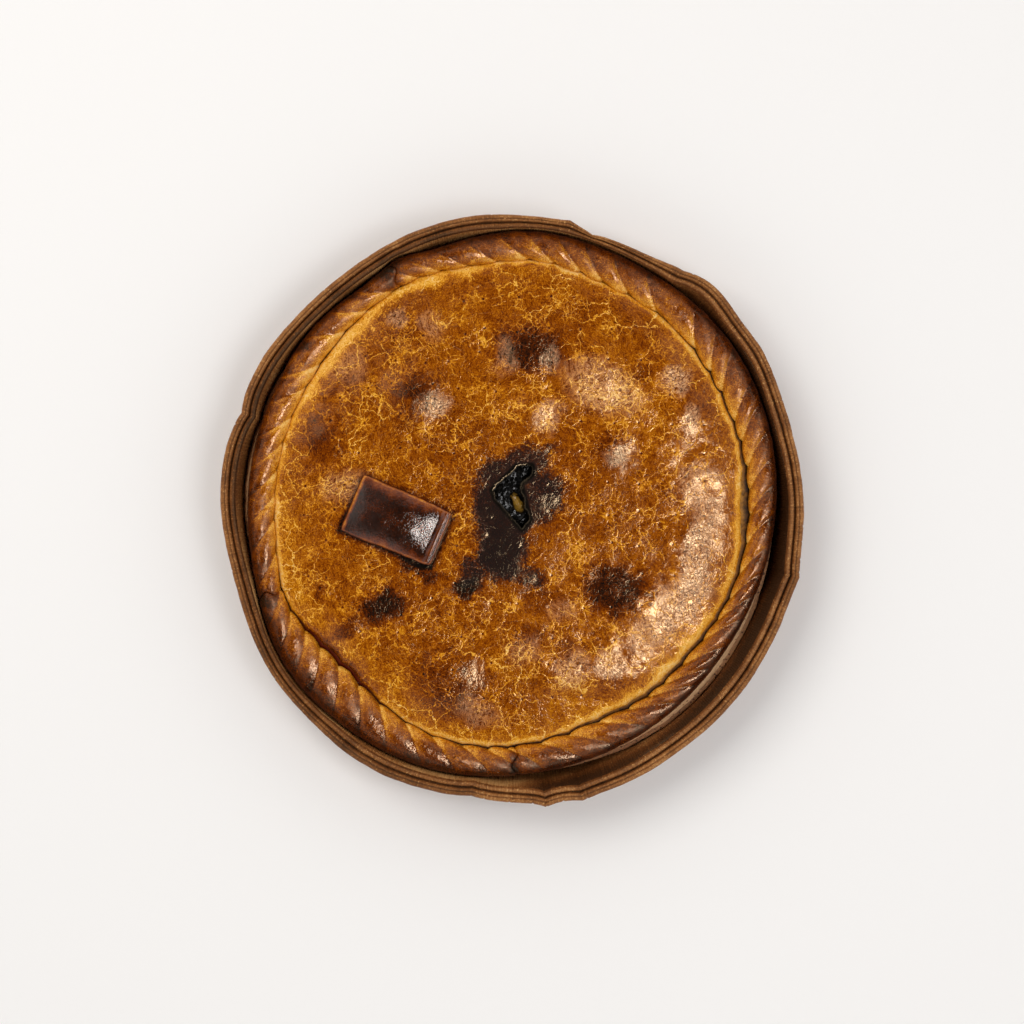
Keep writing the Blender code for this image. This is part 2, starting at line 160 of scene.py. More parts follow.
# Places where the glaze is crazed into wrinkled plates and painted pale: a painted highlight.
CRAZE_AND_SHEEN_SPOTS = (
    (91, 69, 9, 8, -20, 0.9),
    (99, 49, 6, 7, 0, 0.8),
    (113, 17, 6, 4, 0, 0.5),
    (104, -22, 28, 9, 78, 0.6),
    (101, 12, 12, 9, 90, 0.5),
    (96, -50, 17, 11, 50, 0.7),
    (80, -68, 15, 10, 35, 0.6),
    (50, 66, 24, 14, -25, 0.55),
    (-43, 56, 9, 7, 0, 0.8),
    (-44, 99, 10, 7, -30, 0.4),
    (-64, 104, 6, 4, 0, 0.6),
    (20, 50, 11, 7, 60, 0.55),
    (-20, -113, 14, 9, -25, 0.35),
    (33, -92, 11, 9, 60, 0.7),
    (54, -88, 8, 9, 0, 0.6),
    (7, -80, 11, 9, 0, 0.25),
    (-4, 82, 7, 10, 0, 0.4),
    (22, 80, 6, 7, 0, 0.4),
    (57, 27, 7, 5, 0, 0.35),
    (27, -58, 9, 7, 0, 0.25),
    (-91, 77, 11, 9, 40, 0.3),
    (-92, 11, 13, 10, 0, 0.35),
)
CHAR_SPOTS = (
    (-6, -24, 20, 16, 100, 1.0),
    (-6, -4, 25, 17, 75, 1.0),
    (-22, -37, 12, 8, 50, 0.7),
    (-6, 14, 20, 14, 40, 0.9),
    (17, 6, 19, 16, 70, 0.78),
    (8, 25, 19, 11, 15, 0.75),
    (5, -38, 16, 8, -10, 0.6),
    (0, -1, 44, 36, 70, 0.30),
)


def from_angle(angle, centre):
    """How many degrees an angle lies past a centre, from -180 to 180."""
    return (angle - centre + 180.0) % TURN - 180.0


def bell(value, width):
    """1 at 0, falling softly to 0 on both sides."""
    return np.exp(-0.5 * (value / width) ** 2)


def near(angle, centre, width, amount=1.0):
    """An amount at one angle, fading to 0 on both sides."""
    return amount * bell(from_angle(angle, centre), width)


def total_near(angle, rows):
    return sum(near(angle, *row) for row in rows)


def corner(angle, centre, width, height):
    """A fold of the paper: sharp at its angle, fading to both sides."""
    return height * MM * np.exp(-abs(from_angle(angle, centre)) / width)


def outline(angle, mean, swells):
    return mean + MM * total_near(angle, swells)


def to_xy(radius, angle):
    turn = np.radians(angle)
    return radius * np.cos(turn), radius * np.sin(turn)


def ease(value, low, high):
    """0 at low, 1 at high, smooth between and level outside. low may be the larger one."""
    share = np.clip((value - low) / (high - low), 0.0, 1.0)
    return share * share * (3.0 - 2.0 * share)


def rough(x, y, size, seed, octaves=1):
    """Smooth random relief from about -1 to 1, with lumps of the given size in millimetres."""
    size = size * MM
    table = np.random.default_rng(seed).uniform(-1.0, 1.0, (256, 256))
    total = np.zeros(np.broadcast(x, y).shape)
    weight = 1.0
    for _ in range(octaves):
        across = x / size + 91.7
        along = y / size + 47.3
        column = np.floor(across).astype(int)
        row = np.floor(along).astype(int)
        fx = ease(across - column, 0.0, 1.0)
        fy = ease(along - row, 0.0, 1.0)
        left, right = column & 255, (column + 1) & 255
        low, high = row & 255, (row + 1) & 255
        bottom = table[left, low] * (1.0 - fx) + table[right, low] * fx
        top = table[left, high] * (1.0 - fx) + table[right, high] * fx
        total = total + weight * (bottom * (1.0 - fy) + top * fy)
        size = size / 2.0
        weight *= 0.5
    return total


def case_outer(angle):
    """The rim's outer edge, measured from the origin."""
    right, up = to_xy(1.0, angle)
    shift = CASE_SHIFT_X * right + CASE_SHIFT_Y * up
    folds = sum(corner(angle, *row) for row in CASE_CORNERS)
    return outline(angle, CASE_RADIUS, CASE_SWELLS) + folds + shift


def rope_outer(angle):
    return outline(angle, ROPE_OUTER, ROPE_OUTER_SWELLS)


def flank(angle, height):
    return MM * near(angle, *FLANK) * np.sin(math.pi * height / FLANK_SPAN)


def crust_side(angle, height):
    """The side of the pie under the rope."""
    share = (LEDGE - height) / LEDGE
    return rope_outer(angle) - SIDE_INSET - SIDE_TAPER * share + flank(angle, height)


def wall_inner(angle, height):
    """The inner face of the case."""
    share = height / CASE_HEIGHT
    bend = CASE_FOOT_BEND + (1.0 - CASE_FOOT_BEND) * share
    rim = CASE_RADIUS + bend * (case_outer(angle) - CASE_RADIUS)
    flared = rim - CASE_LIP_WIDTH - (CASE_FLARE + MM * near(angle, *WALL_LEAN)) * (1.0 - share)
    rope_share = np.clip(2.5 * height / LEDGE - 1.5, 0.0, 1.0)
    side = crust_side(angle, np.minimum(height, LEDGE))
    pie = side + rope_share * np.maximum(0.0, rope_outer(angle) - side)
    return np.maximum(flared, pie + CASE_CLEARANCE)


# The angles at which the creases between the rope's folds leave the seam.
CREASES = (
    -91, -83, -76, -68, -60, -54.5, -49.5, -43, -35, -29, -23, -16.5, -9, -2, 4, 9.5, 15.8, 20.8,
    28.6, 34.1, 40.7, 53.4, 61.3, 68, 73.6, 80.2, 86.2, 93.5, 100.4, 106.7, 112, 119, 126.3, 133.6,
    143.7, 150, 157.9, 164.5, 171.2, 177, 183, 191, 199.5, 205.3, 211, 216.3, 222.6, 229.5, 236.2,
    243.8, 251, 258.3, 264.3, 269,
)
# The creases lean: from the seam to the outer edge they move on by this angle.
FOLD_LEAN = 7.2
FOLD_LEAN_MORE = (312, 24, 4.0)
FOLD_CURVE = 0.72
FOLD_DEPTH = 0.27
FOLD_DEPTH_SWELLS = (
    (105, 14, -0.08), (160, 30, -0.13), (228, 20, -0.05),
)
FOLD_PEAK = 0.38
FOLD_UNEVEN = 0.22


def fold_count(angle, share):
    """Counts the folds of the rope. share runs from the seam to the outer edge."""
    lean = FOLD_LEAN + near(angle, *FOLD_LEAN_MORE)
    place = angle - lean * np.clip(share, 0.0, 1.0) ** FOLD_CURVE
    place = (place - CREASES[0]) % TURN + CREASES[0]
    stops = CREASES + (CREASES[0] + TURN,)
    return np.interp(place, stops, np.arange(len(stops)))


def fold_back(count):
    """0 in the creases between the folds, 1 on the back of each fold, which lies near its start."""
    part = (count % 1.0) ** (math.log(0.5) / math.log(FOLD_PEAK))
    return np.sin(math.pi * part) ** 0.75


def fold_depth(angle, count):
    """How deep the creases are, as a share of the rope's thickness. No two folds are alike."""
    depth = FOLD_DEPTH + total_near(angle, FOLD_DEPTH_SWELLS)
    uneven = np.random.default_rng(33).uniform(-1.0, 1.0, len(CREASES) + 2)
    return depth * (1.0 + FOLD_UNEVEN * np.interp(count, np.arange(uneven.size), uneven))


def rope_inner(angle):
    """The seam's outer side, which bulges with each fold."""
    half = 0.5 * (rope_outer(angle) - outline(angle, SEAM, SEAM_SWELLS))
    count = fold_count(angle, 0.0)
    hollow = 1.0 - fold_back(count)
    return outline(angle, SEAM, SEAM_SWELLS) + GAP + 0.4 * half * fold_depth(angle, count) * hollow


# The crack along the seam. Where it is closed, the lid's edge runs into the rope.
CRACK = -0.35 * MM
CRACK_SWELLS = (
    (350, 20, 2.0), (303, 22, 2.3), (221, 13, 2.4), (28, 16, 0.95), (139, 9, 0.75),
    (262, 7, 0.7), (0, 6, 3.0),
)


def lid_edge(angle):
    return rope_inner(angle) - outline(angle, CRACK, CRACK_SWELLS)


def mound(x, y, row):
    """A round lump, level at its top and at its foot."""
    centre_x, centre_y, radius, height = (value * MM for value in row)
    away = np.hypot(x - centre_x, y - centre_y) / (MOUND_REACH * radius)
    return height * np.clip(1.0 - away ** 2, 0.0, 1.0) ** 2


def lid_base(x, y):
    """The top of the lid without its finest relief."""
    angle = np.degrees(np.arctan2(y, x))
    radius = np.hypot(x, y)
    edge = lid_edge(angle)
    past = np.clip((radius - SHOULDER) / (edge - SHOULDER), 0.0, 1.0)
    round_off = np.clip((radius - edge + EDGE_ROUND) / EDGE_ROUND, 0.0, 1.0)
    lumps = sum(mound(x, y, row) for row in LUMPS + (FLAP,)) * (1.0 - past ** 2)
    height = DOME_TOP - DOME_FALL * (radius / SHOULDER) ** 2 + lumps
    height = height + 0.35 * MM * rough(x, y, 13.0, 1, 2)
    return height - SHOULDER_FALL * past ** 2 - EDGE_FALL * round_off ** 2


def oval(x, y, centre_x, centre_y, long, short, lean):
    """0 in the middle of a leaning oval and 1 on its outline."""
    turn = math.radians(lean)
    right = x / MM - centre_x
    up = y / MM - centre_y
    along = (right * math.cos(turn) + up * math.sin(turn)) / long
    across = (up * math.cos(turn) - right * math.sin(turn)) / short
    return np.hypot(along, across)


def spots(x, y, rows):
    """How far each point lies in the given marks, whose outlines are uneven."""
    shift_x = 2.6 * MM * rough(x, y, 7.0, 11, 3)
    shift_y = 2.6 * MM * rough(x, y, 7.0, 12, 3)
    total = np.zeros(np.broadcast(x, y).shape)
    for *place, amount in rows:
        inside = ease(oval(x + shift_x, y + shift_y, *place), 1.25, 0.45)
        total = np.maximum(total, amount * inside)
    return total


def vent_edges(centre_x=0.0, centre_y=0.0):
    """The start and the run of each straight edge of the vent, seen from a centre."""
    points = [((x - centre_x) * MM, (y - centre_y) * MM) for x, y in VENT]
    for (start_x, start_y), (end_x, end_y) in zip(points, points[1:] + points[:1]):
        yield start_x, start_y, end_x - start_x, end_y - start_y


def vent_distance(x, y):
    """Distance to the vent's outline, negative inside it."""
    nearest = np.full(x.shape, 1.0)
    inside = np.zeros(x.shape, bool)
    for start_x, start_y, run_x, run_y in vent_edges():
        right, up = x - start_x, y - start_y
        share = np.clip((right * run_x + up * run_y) / (run_x ** 2 + run_y ** 2), 0.0, 1.0)
        nearest = np.minimum(nearest, np.hypot(right - share * run_x, up - share * run_y))
        inside ^= ((up < 0.0) != (up < run_y)) & (right < up / run_y * run_x)
    return np.where(inside, -nearest, nearest)


PRICK_PITCH = 17.0 * MM
PRICK_START_X = 3.9 * MM
PRICK_START_Y = 114.6 * MM
PRICK_UNEVEN = 1.9 * MM
PRICK_UNEVEN_LEFT = 5.0 * MM
PRICK_RADIUS = 0.75 * MM
PRICK_DEPTH = 0.35 * MM
PRICK_RANGE = 120.0 * MM


def on_tag(x, y):
    """Each point's place along and across the dough tag, from its middle."""
    turn = math.radians(TAG_ANGLE)
    along = (x - TAG_X) * math.cos(turn) + (y - TAG_Y) * math.sin(turn)
    across = (y - TAG_Y) * math.cos(turn) - (x - TAG_X) * math.sin(turn)
    return along, across


def make_pricks():
    """The places where the lid was pricked: an uneven square lattice."""
    random = np.random.default_rng(5)
    steps = np.arange(-15, 16)
    columns, rows = np.meshgrid(steps, steps)
    x = PRICK_START_X + PRICK_PITCH * columns.ravel()
    y = PRICK_START_Y - PRICK_PITCH * rows.ravel()
    uneven = np.where(x < 0.0, PRICK_UNEVEN_LEFT, PRICK_UNEVEN)
    x = x + uneven * random.uniform(-1.0, 1.0, x.size)
    y = y + uneven * random.uniform(-1.0, 1.0, y.size)
    along, across = on_tag(x, y)
    off_tag = (abs(along) > 0.56 * TAG_LENGTH) | (abs(across) > 0.6 * TAG_WIDTH)
    keep = (np.hypot(x, y) < PRICK_RANGE) & off_tag & (vent_distance(x, y) > 3.0 * MM)
    return x[keep], y[keep]


PRICKS = make_pricks()


def to_prick(x, y):
    """The way from each point to its nearest prick, in millimetres, and a number for it."""
    best = np.full(x.shape, 1.0)
    way = np.zeros(x.shape + (3,))
    for number, (px, py) in enumerate(zip(*PRICKS)):
        away = np.hypot(px - x, py - y)
        closer = away < best
        best = np.where(closer, away, best)
        row = np.stack([(px - x) / MM, (py - y) / MM, np.full(x.shape, number * 0.618)], axis=-1)
        way = np.where(closer[..., None], row, way)
    return best, way


CRACK_REACH = 23.0 * MM
CRACK_CHANCE = 0.55


def to_crack(x, y, to_nearest):
    """Signed distance in millimetres to the nearest crack between two neighbouring pricks."""
    free = ease(to_nearest, 0.0, 7.0 * MM)
    bent_x = x + 3.2 * MM * rough(x, y, 8.0, 14, 3) * free
    bent_y = y + 3.2 * MM * rough(x, y, 8.0, 15, 3) * free
    px, py = PRICKS
    neighbours = np.hypot(px[:, None] - px, py[:, None] - py) < CRACK_REACH
    pairs = np.argwhere(np.triu(neighbours, 1))
    pairs = pairs[np.random.default_rng(17).random(len(pairs)) < CRACK_CHANCE]
    best = np.full(x.shape, 1.0)
    for start, end in pairs:
        run_x, run_y = px[end] - px[start], py[end] - py[start]
        right, up = bent_x - px[start], bent_y - py[start]
        share = np.clip((right * run_x + up * run_y) / (run_x ** 2 + run_y ** 2), 0.0, 1.0)
        away = np.hypot(right - share * run_x, up - share * run_y)
        away = np.copysign(away, up * run_x - right * run_y)
        best = np.where(abs(away) < abs(best), away, best)
    return best / MM


def disc_grid(half_count):
    """A square grid wrapped into a disc: each point's share of the radius and its angle."""
    line = np.arange(-half_count, half_count + 1) / half_count
    u, v = np.meshgrid(line, line, indexing="ij")
    wide = abs(u) >= abs(v)
    with np.errstate(divide="ignore", invalid="ignore"):
        side = 45.0 * v / u + np.where(u < 0.0, 180.0, 0.0)
        ends = 90.0 - 45.0 * u / v + np.where(v < 0.0, 180.0, 0.0)
    angle = np.where(wide, side, ends)
    angle[half_count, half_count] = 0.0
    return np.maximum(abs(u), abs(v)), angle


def rim_of(rows, columns):
    """Numbers of a grid's outer points, counter-clockwise."""
    numbers = np.arange(rows * columns).reshape(rows, columns)
    sides = (numbers[:-1, 0], numbers[-1, :-1], numbers[:0:-1, -1], numbers[0, :0:-1])
    return np.concatenate(sides)


def grid_faces(rows, columns, closed=False):
    """The quads of a grid of points, row after row."""
    row = np.arange(rows - 1)[:, None] * columns
    column = np.arange(columns if closed else columns - 1)[None, :]
    beside = (column + 1) % columns
    corners = (row + column, row + columns + column, row + columns + beside, row + beside)
    return np.stack(np.broadcast_arrays(*corners), axis=-1).reshape(-1, 4)


def skirt_faces(rim, start, rings):
    """Quads from a grid's rim through rings of new points that begin at number start."""
    loops = [rim] + [start + ring * rim.size + np.arange(rim.size) for ring in range(rings)]
    faces = []
    for inner, outer in zip(loops, loops[1:]):
        quad = (inner, outer, np.roll(outer, -1), np.roll(inner, -1))
        faces.append(np.stack(quad, axis=-1))
    return np.concatenate(faces)


def polar(radius, angle, height):
    """Points as an array of x, y, z rows."""
    points = np.broadcast_arrays(*to_xy(radius, angle), height)
    return np.stack(points, axis=-1).reshape(-1, 3)


def place_object(name, data):
    """A new object in the scene."""
    item = bpy.data.objects.new(name, data)
    bpy.context.scene.collection.objects.link(item)
    return item


def new_piece(name, points, faces, paint, nodes, slot, **marks):
    """A smooth mesh that stands for CAD nodes. marks are values kept at its points."""
    mesh = bpy.data.meshes.new(name)
    mesh.from_pydata(points.tolist(), [], faces if isinstance(faces, list) else faces.tolist())
    for mark, values in marks.items():
        values = np.asarray(values, np.float32)
        single = values.size == len(points)
        kind, key = ("FLOAT", "value") if single else ("FLOAT_VECTOR", "vector")
        mesh.attributes.new(mark, kind, "POINT").data.foreach_set(key, values.ravel())
    mesh.shade_smooth()
    mesh.materials.append(paint)
    piece = place_object(name, mesh)
    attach(piece, "root")
    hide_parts(*nodes)
    return piece


LID_HALF_COUNT = 150
LID_SPREAD = 1.22
RAW_EDGE = 2.6 * MM
RAW_EDGE_SWELLS = (
    (106, 7, 3.0), (133, 12, 4.5), (152, 10, 2.0), (322, 22, 2.2), (0, 20, 1.2),
)
# The lid's steep outer edge: how far in and how far up each of its rings lies, in millimetres.
LID_EDGE_RINGS = ((0.15, -1.4), (0.35, -3.4), (0.35, -7.5))
# Marks of the lid's top that its edge doesn't have.
TOP_MARKS = ("crackle", "wool", "craze_and_sheen")


def sharpen_vent(mesh):
    """Shades the vent's steep walls flat, so that the lid stays level up to the hole."""
    normals = np.empty(3 * len(mesh.polygons))
    middles = np.empty_like(normals)
    mesh.polygons.foreach_get("normal", normals)
    mesh.polygons.foreach_get("center", middles)
    by_vent = np.hypot(middles[0::3], middles[1::3]) < VENT_REACH
    steep = by_vent & (normals[2::3] < VENT_STEEP)
    mesh.polygons.foreach_set("use_smooth", ~steep)


def make_lid(paint):
    """The lid: a soft dome with pricks, a burnt vent, and a raw edge along the seam."""
    share, angle = disc_grid(LID_HALF_COUNT)
    edge = lid_edge(angle)
    radius = edge * share ** LID_SPREAD
    x, y = to_xy(radius, angle)
    height = lid_base(x, y) + 0.10 * MM * rough(x, y, 4.5, 2, 2)
    away, way = to_prick(x, y)
    height = height - PRICK_DEPTH * bell(away, PRICK_RADIUS)
    vent = vent_distance(x, y)
    ragged = vent + 0.6 * MM * rough(x, y, 2.6, 3, 2)
    height = height + 0.3 * MM * bell(ragged - 1.5 * MM, 2.2 * MM)
    height = height - VENT_DEPTH * ease(ragged, -0.1 * MM, -1.1 * MM)

    to_edge = edge - radius
    raw_width = outline(angle, RAW_EDGE, RAW_EDGE_SWELLS)
    raw_width = raw_width * (1.0 + 0.45 * rough(x, y, 9.0, 6, 2))
    burnt_seam = near(angle, *BURNT_SEAM)
    raw = ease(to_edge, 1.3 * raw_width, 0.35 * raw_width) * (1.0 - burnt_seam)
    bake = 0.54 + 0.05 * rough(x, y, 24.0, 7, 2) + spots(x, y, BROWN_SPOTS)
    pale = 0.34 - near(angle, 160, 40, 0.08) - near(angle, 318, 36, 0.10)
    bake = bake - pale * raw + 0.3 * burnt_seam * ease(to_edge, 5.0 * MM, 1.0 * MM)
    golden = near(angle, 290, 32, 0.10) + near(angle, 205, 22, 0.10)
    bake = bake - golden * ease(to_edge, 26.0 * MM, 0.0)
    bake = bake - 0.06 * ease(to_edge, 13.0 * MM, 2.0 * MM) * (1.0 - burnt_seam)
    # Painted shadow on the lid round the tag, strongest below it.
    along, across = on_tag(x, y)
    to_tag = np.maximum(abs(along) - 0.5 * TAG_LENGTH, abs(across) - 0.5 * TAG_WIDTH)
    below = 0.35 + 0.65 * ease(-across, -TAG_WIDTH, 0.3 * TAG_WIDTH)
    bake = bake + 0.34 * bell(np.maximum(to_tag, 0.0), 1.3 * MM) * below
    char = np.maximum(spots(x, y, CHAR_SPOTS), 1.5 * ease(vent, 6.0 * MM, 0.2 * MM))
    fans = spots(x, y, CRACKLE_SPOTS)
    wool = 0.62 - 0.38 * ease(x + 0.3 * y, -40.0 * MM, 40.0 * MM)
    wool = wool + 0.30 * rough(x, y, 16.0, 9, 2) + 0.5 * fans
    marks = {
        "bake": bake - 0.05 * fans,
        "char": char,
        "crackle": 0.80 + 0.22 * rough(x, y, 18.0, 8, 2) + 0.3 * fans - 0.35 * raw,
        "wool": np.clip(wool, 0.1, 1.0),
        "craze_and_sheen": spots(x, y, CRAZE_AND_SHEEN_SPOTS),
        "raw": raw,
        "way": way,
        "crack": to_crack(x, y, away),
    }

    rim = rim_of(*share.shape)
    points = [polar(radius, angle, height)]
    marks = {mark: [values.reshape(share.size, -1)] for mark, values in marks.items()}
    for step_in, drop in LID_EDGE_RINGS:
        rim_height = height.ravel()[rim] + drop * MM
        points.append(polar(edge.ravel()[rim] - step_in * MM, angle.ravel()[rim], rim_height))
        for mark, values in marks.items():
            values.append(values[0][rim] * (mark not in TOP_MARKS))
        # Painted shade: the steep edge darkens as it goes down into the seam.
        dark = 0.30 + 0.45 * burnt_seam.ravel()[rim] - 0.04 * drop
        marks["bake"][-1] = dark[:, None]
    rings = len(LID_EDGE_RINGS)
    faces = np.concatenate([grid_faces(*share.shape), skirt_faces(rim, share.size, rings)])
    marks = {mark: np.concatenate(values) for mark, values in marks.items()}
    points = np.concatenate(points)
    lid = new_piece("pie_lid", points, faces, paint, ["crust"], "baked_crust", **marks)
    sharpen_vent(lid.data)


# The seam's filling: its height over the ledge beside the lid, and its fall towards the rope.
SEAM_FILL = 6.4 * MM
SEAM_FALL = 3.4 * MM
SEAM_RINGS = 8
SEAM_TUCK = 6.0 * MM
SEAM_FOOT = 0.9 * MM
# The shelf beside the rope's foot, from under the rope to where the side turns down.
SHELF_RINGS = 10
SHELF_INSET = 3.5 * MM
SHELF_RISE = 0.8 * MM
SIDE_ROUND = 1.8 * MM
SIDE_GAP = 0.6 * MM
SIDE_STEPS = 1080
SIDE_LEVELS = 26
# About the length of one degree of the side, for its relief.
SIDE_ARC = 2.6 * MM
# Where the side swells out as far as the case: angle, width and share.
SIDE_TOUCH = (180, 32, 1.5)
# Where the seam has filled with dark glaze: its middle and half width in degrees.
BURNT_SEAM = (221, 11)


def make_side(paint):
    """The ledge under the rope, the pie's pale pinholed side, and its base."""
    angle = np.arange(SIDE_STEPS) * TURN / SIDE_STEPS

    def uneven(radius, size, seed):
        return rough(*to_xy(radius, angle), size, seed, 3)

    def room(height):
        """How far the side may swell at this height before it meets the case."""
        return wall_inner(angle, height) - SIDE_GAP - crust_side(angle, height)

    rings = [polar(lid_edge(angle) - SEAM_TUCK, angle, LEDGE)]
    bake = [np.full(SIDE_STEPS, 0.5)]
    start = lid_edge(angle) - SEAM_FOOT
    for share in np.linspace(0.0, 1.0, SEAM_RINGS):
        radius = start + share * (rope_inner(angle) + SEAM_FOOT - start)
        relief = uneven(radius, 2.4, 23)
        height = LEDGE + SEAM_FILL - SEAM_FALL * share ** 2 + 0.35 * MM * relief
        rings.append(polar(radius, angle, height))
        # Painted shade: the seam darkens from the lid's side towards the rope.
        bake.append(0.10 + 0.85 * share + 0.16 * relief)
    seam_marks = len(rings) * SIDE_STEPS
    touch = np.minimum(1.0, near(angle, *SIDE_TOUCH))
    bulge = np.minimum(1.0, touch + near(angle, *FLANK[:2]))
    start = rope_outer(angle) - SHELF_INSET
    end = crust_side(angle, LEDGE) + room(LEDGE) * touch - SIDE_ROUND
    for share in np.linspace(0.0, 1.0, SHELF_RINGS):
        radius = start + share * (end - start)
        relief = uneven(radius, 3.4, 24)
        swollen = (2.2 * MM * math.sin(math.pi * share) - 0.8 * MM * share ** 2) * bulge
        rings.append(polar(radius, angle, LEDGE + SHELF_RISE + swollen + 0.25 * MM * relief))
        # Painted shade: darker at the shelf's outer edge, where it turns down.
        bake.append(0.06 * relief - 0.12 + 0.18 * share ** 4)
    low = CRUST_BOTTOM + CRUST_FOOT_ROUND
    for share in np.linspace(0.0, 1.0, SIDE_LEVELS):
        height = LEDGE + (low - LEDGE) * share
        rounded = ease(share, 0.16, 0.0)
        relief = 0.35 * MM * rough(angle * SIDE_ARC, height, 9.0, 21, 3)
        swollen = room(height) * touch * bell(LEDGE - height, 5.0 * MM)
        radius = crust_side(angle, height) + swollen - SIDE_ROUND * rounded + relief
        rings.append(polar(radius, angle, height + SHELF_RISE * (1.0 - rounded)))
        stained = 0.05 * rough(angle * SIDE_ARC, height, 12.0, 22, 2)
        bake.append(0.48 - near(angle, 320, 30, 0.10) + 0.16 * share + stained)
    rings.append(polar(crust_side(angle, low) - CRUST_FOOT_ROUND, angle, CRUST_BOTTOM))
    rings.append(polar(0.5 * ROPE_OUTER, angle, CRUST_BOTTOM))
    bake.append(np.full(2 * SIDE_STEPS + 1, 0.6))
    points = np.concatenate(rings + [np.array([[0.0, 0.0, CRUST_BOTTOM]])])
    faces = grid_faces(len(rings), SIDE_STEPS, closed=True).tolist()
    last = (len(rings) - 1) * SIDE_STEPS
    centre = len(points) - 1
    faces += [(last + step, centre, last + (step + 1) % SIDE_STEPS) for step in range(SIDE_STEPS)]
    in_seam = np.arange(len(points)) < seam_marks
    burnt = np.append(near(np.tile(angle, len(rings)), *BURNT_SEAM), 0.0)
    new_piece(
        "pie_side", points, faces, paint, ["crust"], "baked_crust",
        bake=np.concatenate(bake), raw=in_seam * 1.0, glaze=np.minimum(1.4 * burnt * in_seam, 1.0),
    )


ROPE_STEP = 0.16
ROPE_POINTS = 60
ROPE_BURNS = (
    (118.0, 1.8, 0.26), (201.0, 1.0, 0.20), (270.5, 0.6, 0.25),
)
# The lengths of the rope meet along bent lines: how far a joint moves, in degrees.
JOINT_BEND = 0.7
JOINT_ROWS = 60.0
ROPE_ARC = 2.4 * MM
# Stretches of the rope that are baked more or less than the rest: angle, width, amount.
ROPE_BAKES = (
    (315, 26, 0.05), (142, 16, -0.10), (170, 14, -0.04), (40, 30, -0.03), (236, 20, 0.04),
)
# Dark streaks along the folds of the left side: angle, width, and how strong they are.
STREAKS = (146, 18, (0.3, 1.0, 0.8, 1.0, 0.2, 0.9, 0.6, 0.3))


def make_rope(name, first, last, paint):
    """One length of the rope edge: leaning folds that lap over each other like shingles."""
    rows = round((last - first) / ROPE_STEP) + 1
    along = np.linspace(0.0, 1.0, rows)[:, None]
    around = np.arange(ROPE_POINTS)[None, :] * 2.0 * math.pi / ROPE_POINTS
    out, up = np.cos(around), np.sin(around)
    share = 0.5 + 0.5 * out
    near_end = np.maximum(1.0 - np.minimum(along, 1.0 - along) * rows / JOINT_ROWS, 0.0)
    bend = JOINT_BEND * np.sin(2.2 * math.pi * share) * near_end
    angle = first + (last - first) * along + bend
    inner = outline(angle, SEAM, SEAM_SWELLS) + GAP
    outer = rope_outer(angle)
    to_end = np.minimum(along, 1.0 - along) * (last - first) * math.radians(1.0) * ROPE_OUTER
    end_share = np.clip(to_end / ROPE_END, 0.0, 1.0)
    fullness = ROPE_END_SIZE + (1.0 - ROPE_END_SIZE) * np.sqrt(1.0 - (1.0 - end_share) ** 2)
    count = fold_count(angle, share)
    part = count % 1.0
    back = fold_back(count)
    shows = ease(up, -0.35, 0.15) * (1.0 - 0.9 * ease(share, 0.58, 0.92))
    shows = np.maximum(shows, 0.7 * ease(-out, 0.6, 0.95))
    reach = 1.0 - fold_depth(angle, count) * shows * (1.0 - back)
    relief_at = angle * ROPE_ARC
    relief = 1.0 + 0.022 * rough(relief_at, share * 22.0 * MM, 4.0, 31, 2)
    relief = relief + 0.006 * rough(count * 9.0 * MM, share * 7.0 * MM, 1.6, 34, 2)
    size = fullness * reach
    half = 0.5 * (outer - inner) * size
    radius = 0.5 * (outer + inner) + half * out * np.where(up > 0.0, relief, 1.0)
    lift = np.where(up > 0.0, ROPE_RISE * relief, ROPE_DROP) * size
    height = LEDGE + GAP + ROPE_DROP * fullness + lift * up
    points = polar(radius, angle, height)

    top = ease(up, 0.0, 0.8)
    bake = 0.585 + 0.17 * ease(share, 0.50, 0.90) - 0.24 * ease(share, 0.45, 0.0)
    bake = bake + 0.05 * rough(relief_at, share * 22.0 * MM, 14.0, 32, 2)
    bake = bake + 0.02 * rough(count * 9.0 * MM, share * 6.0 * MM, 2.2, 35, 2)
    # Yellow raw dough at the start of each fold; painted shade darkens each fold towards the next
    # crease.
    bake = bake - 0.24 * np.exp(-part / 0.15) * shows + 0.07 * ease(part, 0.5, 1.0) * top
    streak = ease(part, 0.06, 0.2) * ease(part, 0.5, 0.3) * ease(share, 0.4, 0.6)
    streak = streak * near(angle, *STREAKS[:2]) * np.interp(count % 7.0, range(8), STREAKS[2])
    bake = bake + 0.26 * streak * top
    bake = bake + total_near(angle, ROPE_BAKES) + total_near(angle, ROPE_BURNS) * top
    dull = ease(share, 0.9, 0.99) * np.ones_like(bake)
    ends = np.stack([points[:ROPE_POINTS].mean(0), points[-ROPE_POINTS:].mean(0)])
    points = np.concatenate([points, ends])
    faces = grid_faces(rows, ROPE_POINTS, closed=True).tolist()
    ring = np.arange(ROPE_POINTS).tolist()
    after = ring[1:] + ring[:1]
    base = (rows - 1) * ROPE_POINTS
    faces += [(here, beside, len(points) - 2) for here, beside in zip(ring, after)]
    faces += [(base + beside, base + here, len(points) - 1) for here, beside in zip(ring, after)]
    bake = np.append(bake.ravel(), [0.66, 0.66])
    dull = np.append(dull.ravel(), [0.0, 0.0])
    new_piece(name + "_twist", points, faces, paint, [name], "rope_crust", bake=bake, dull=dull)


TAG_ALONG = 150
TAG_ACROSS = 100
TAG_CORNER = 1.6 * MM
TAG_TAPER = 0.03
TAG_BEVEL = 1.5 * MM


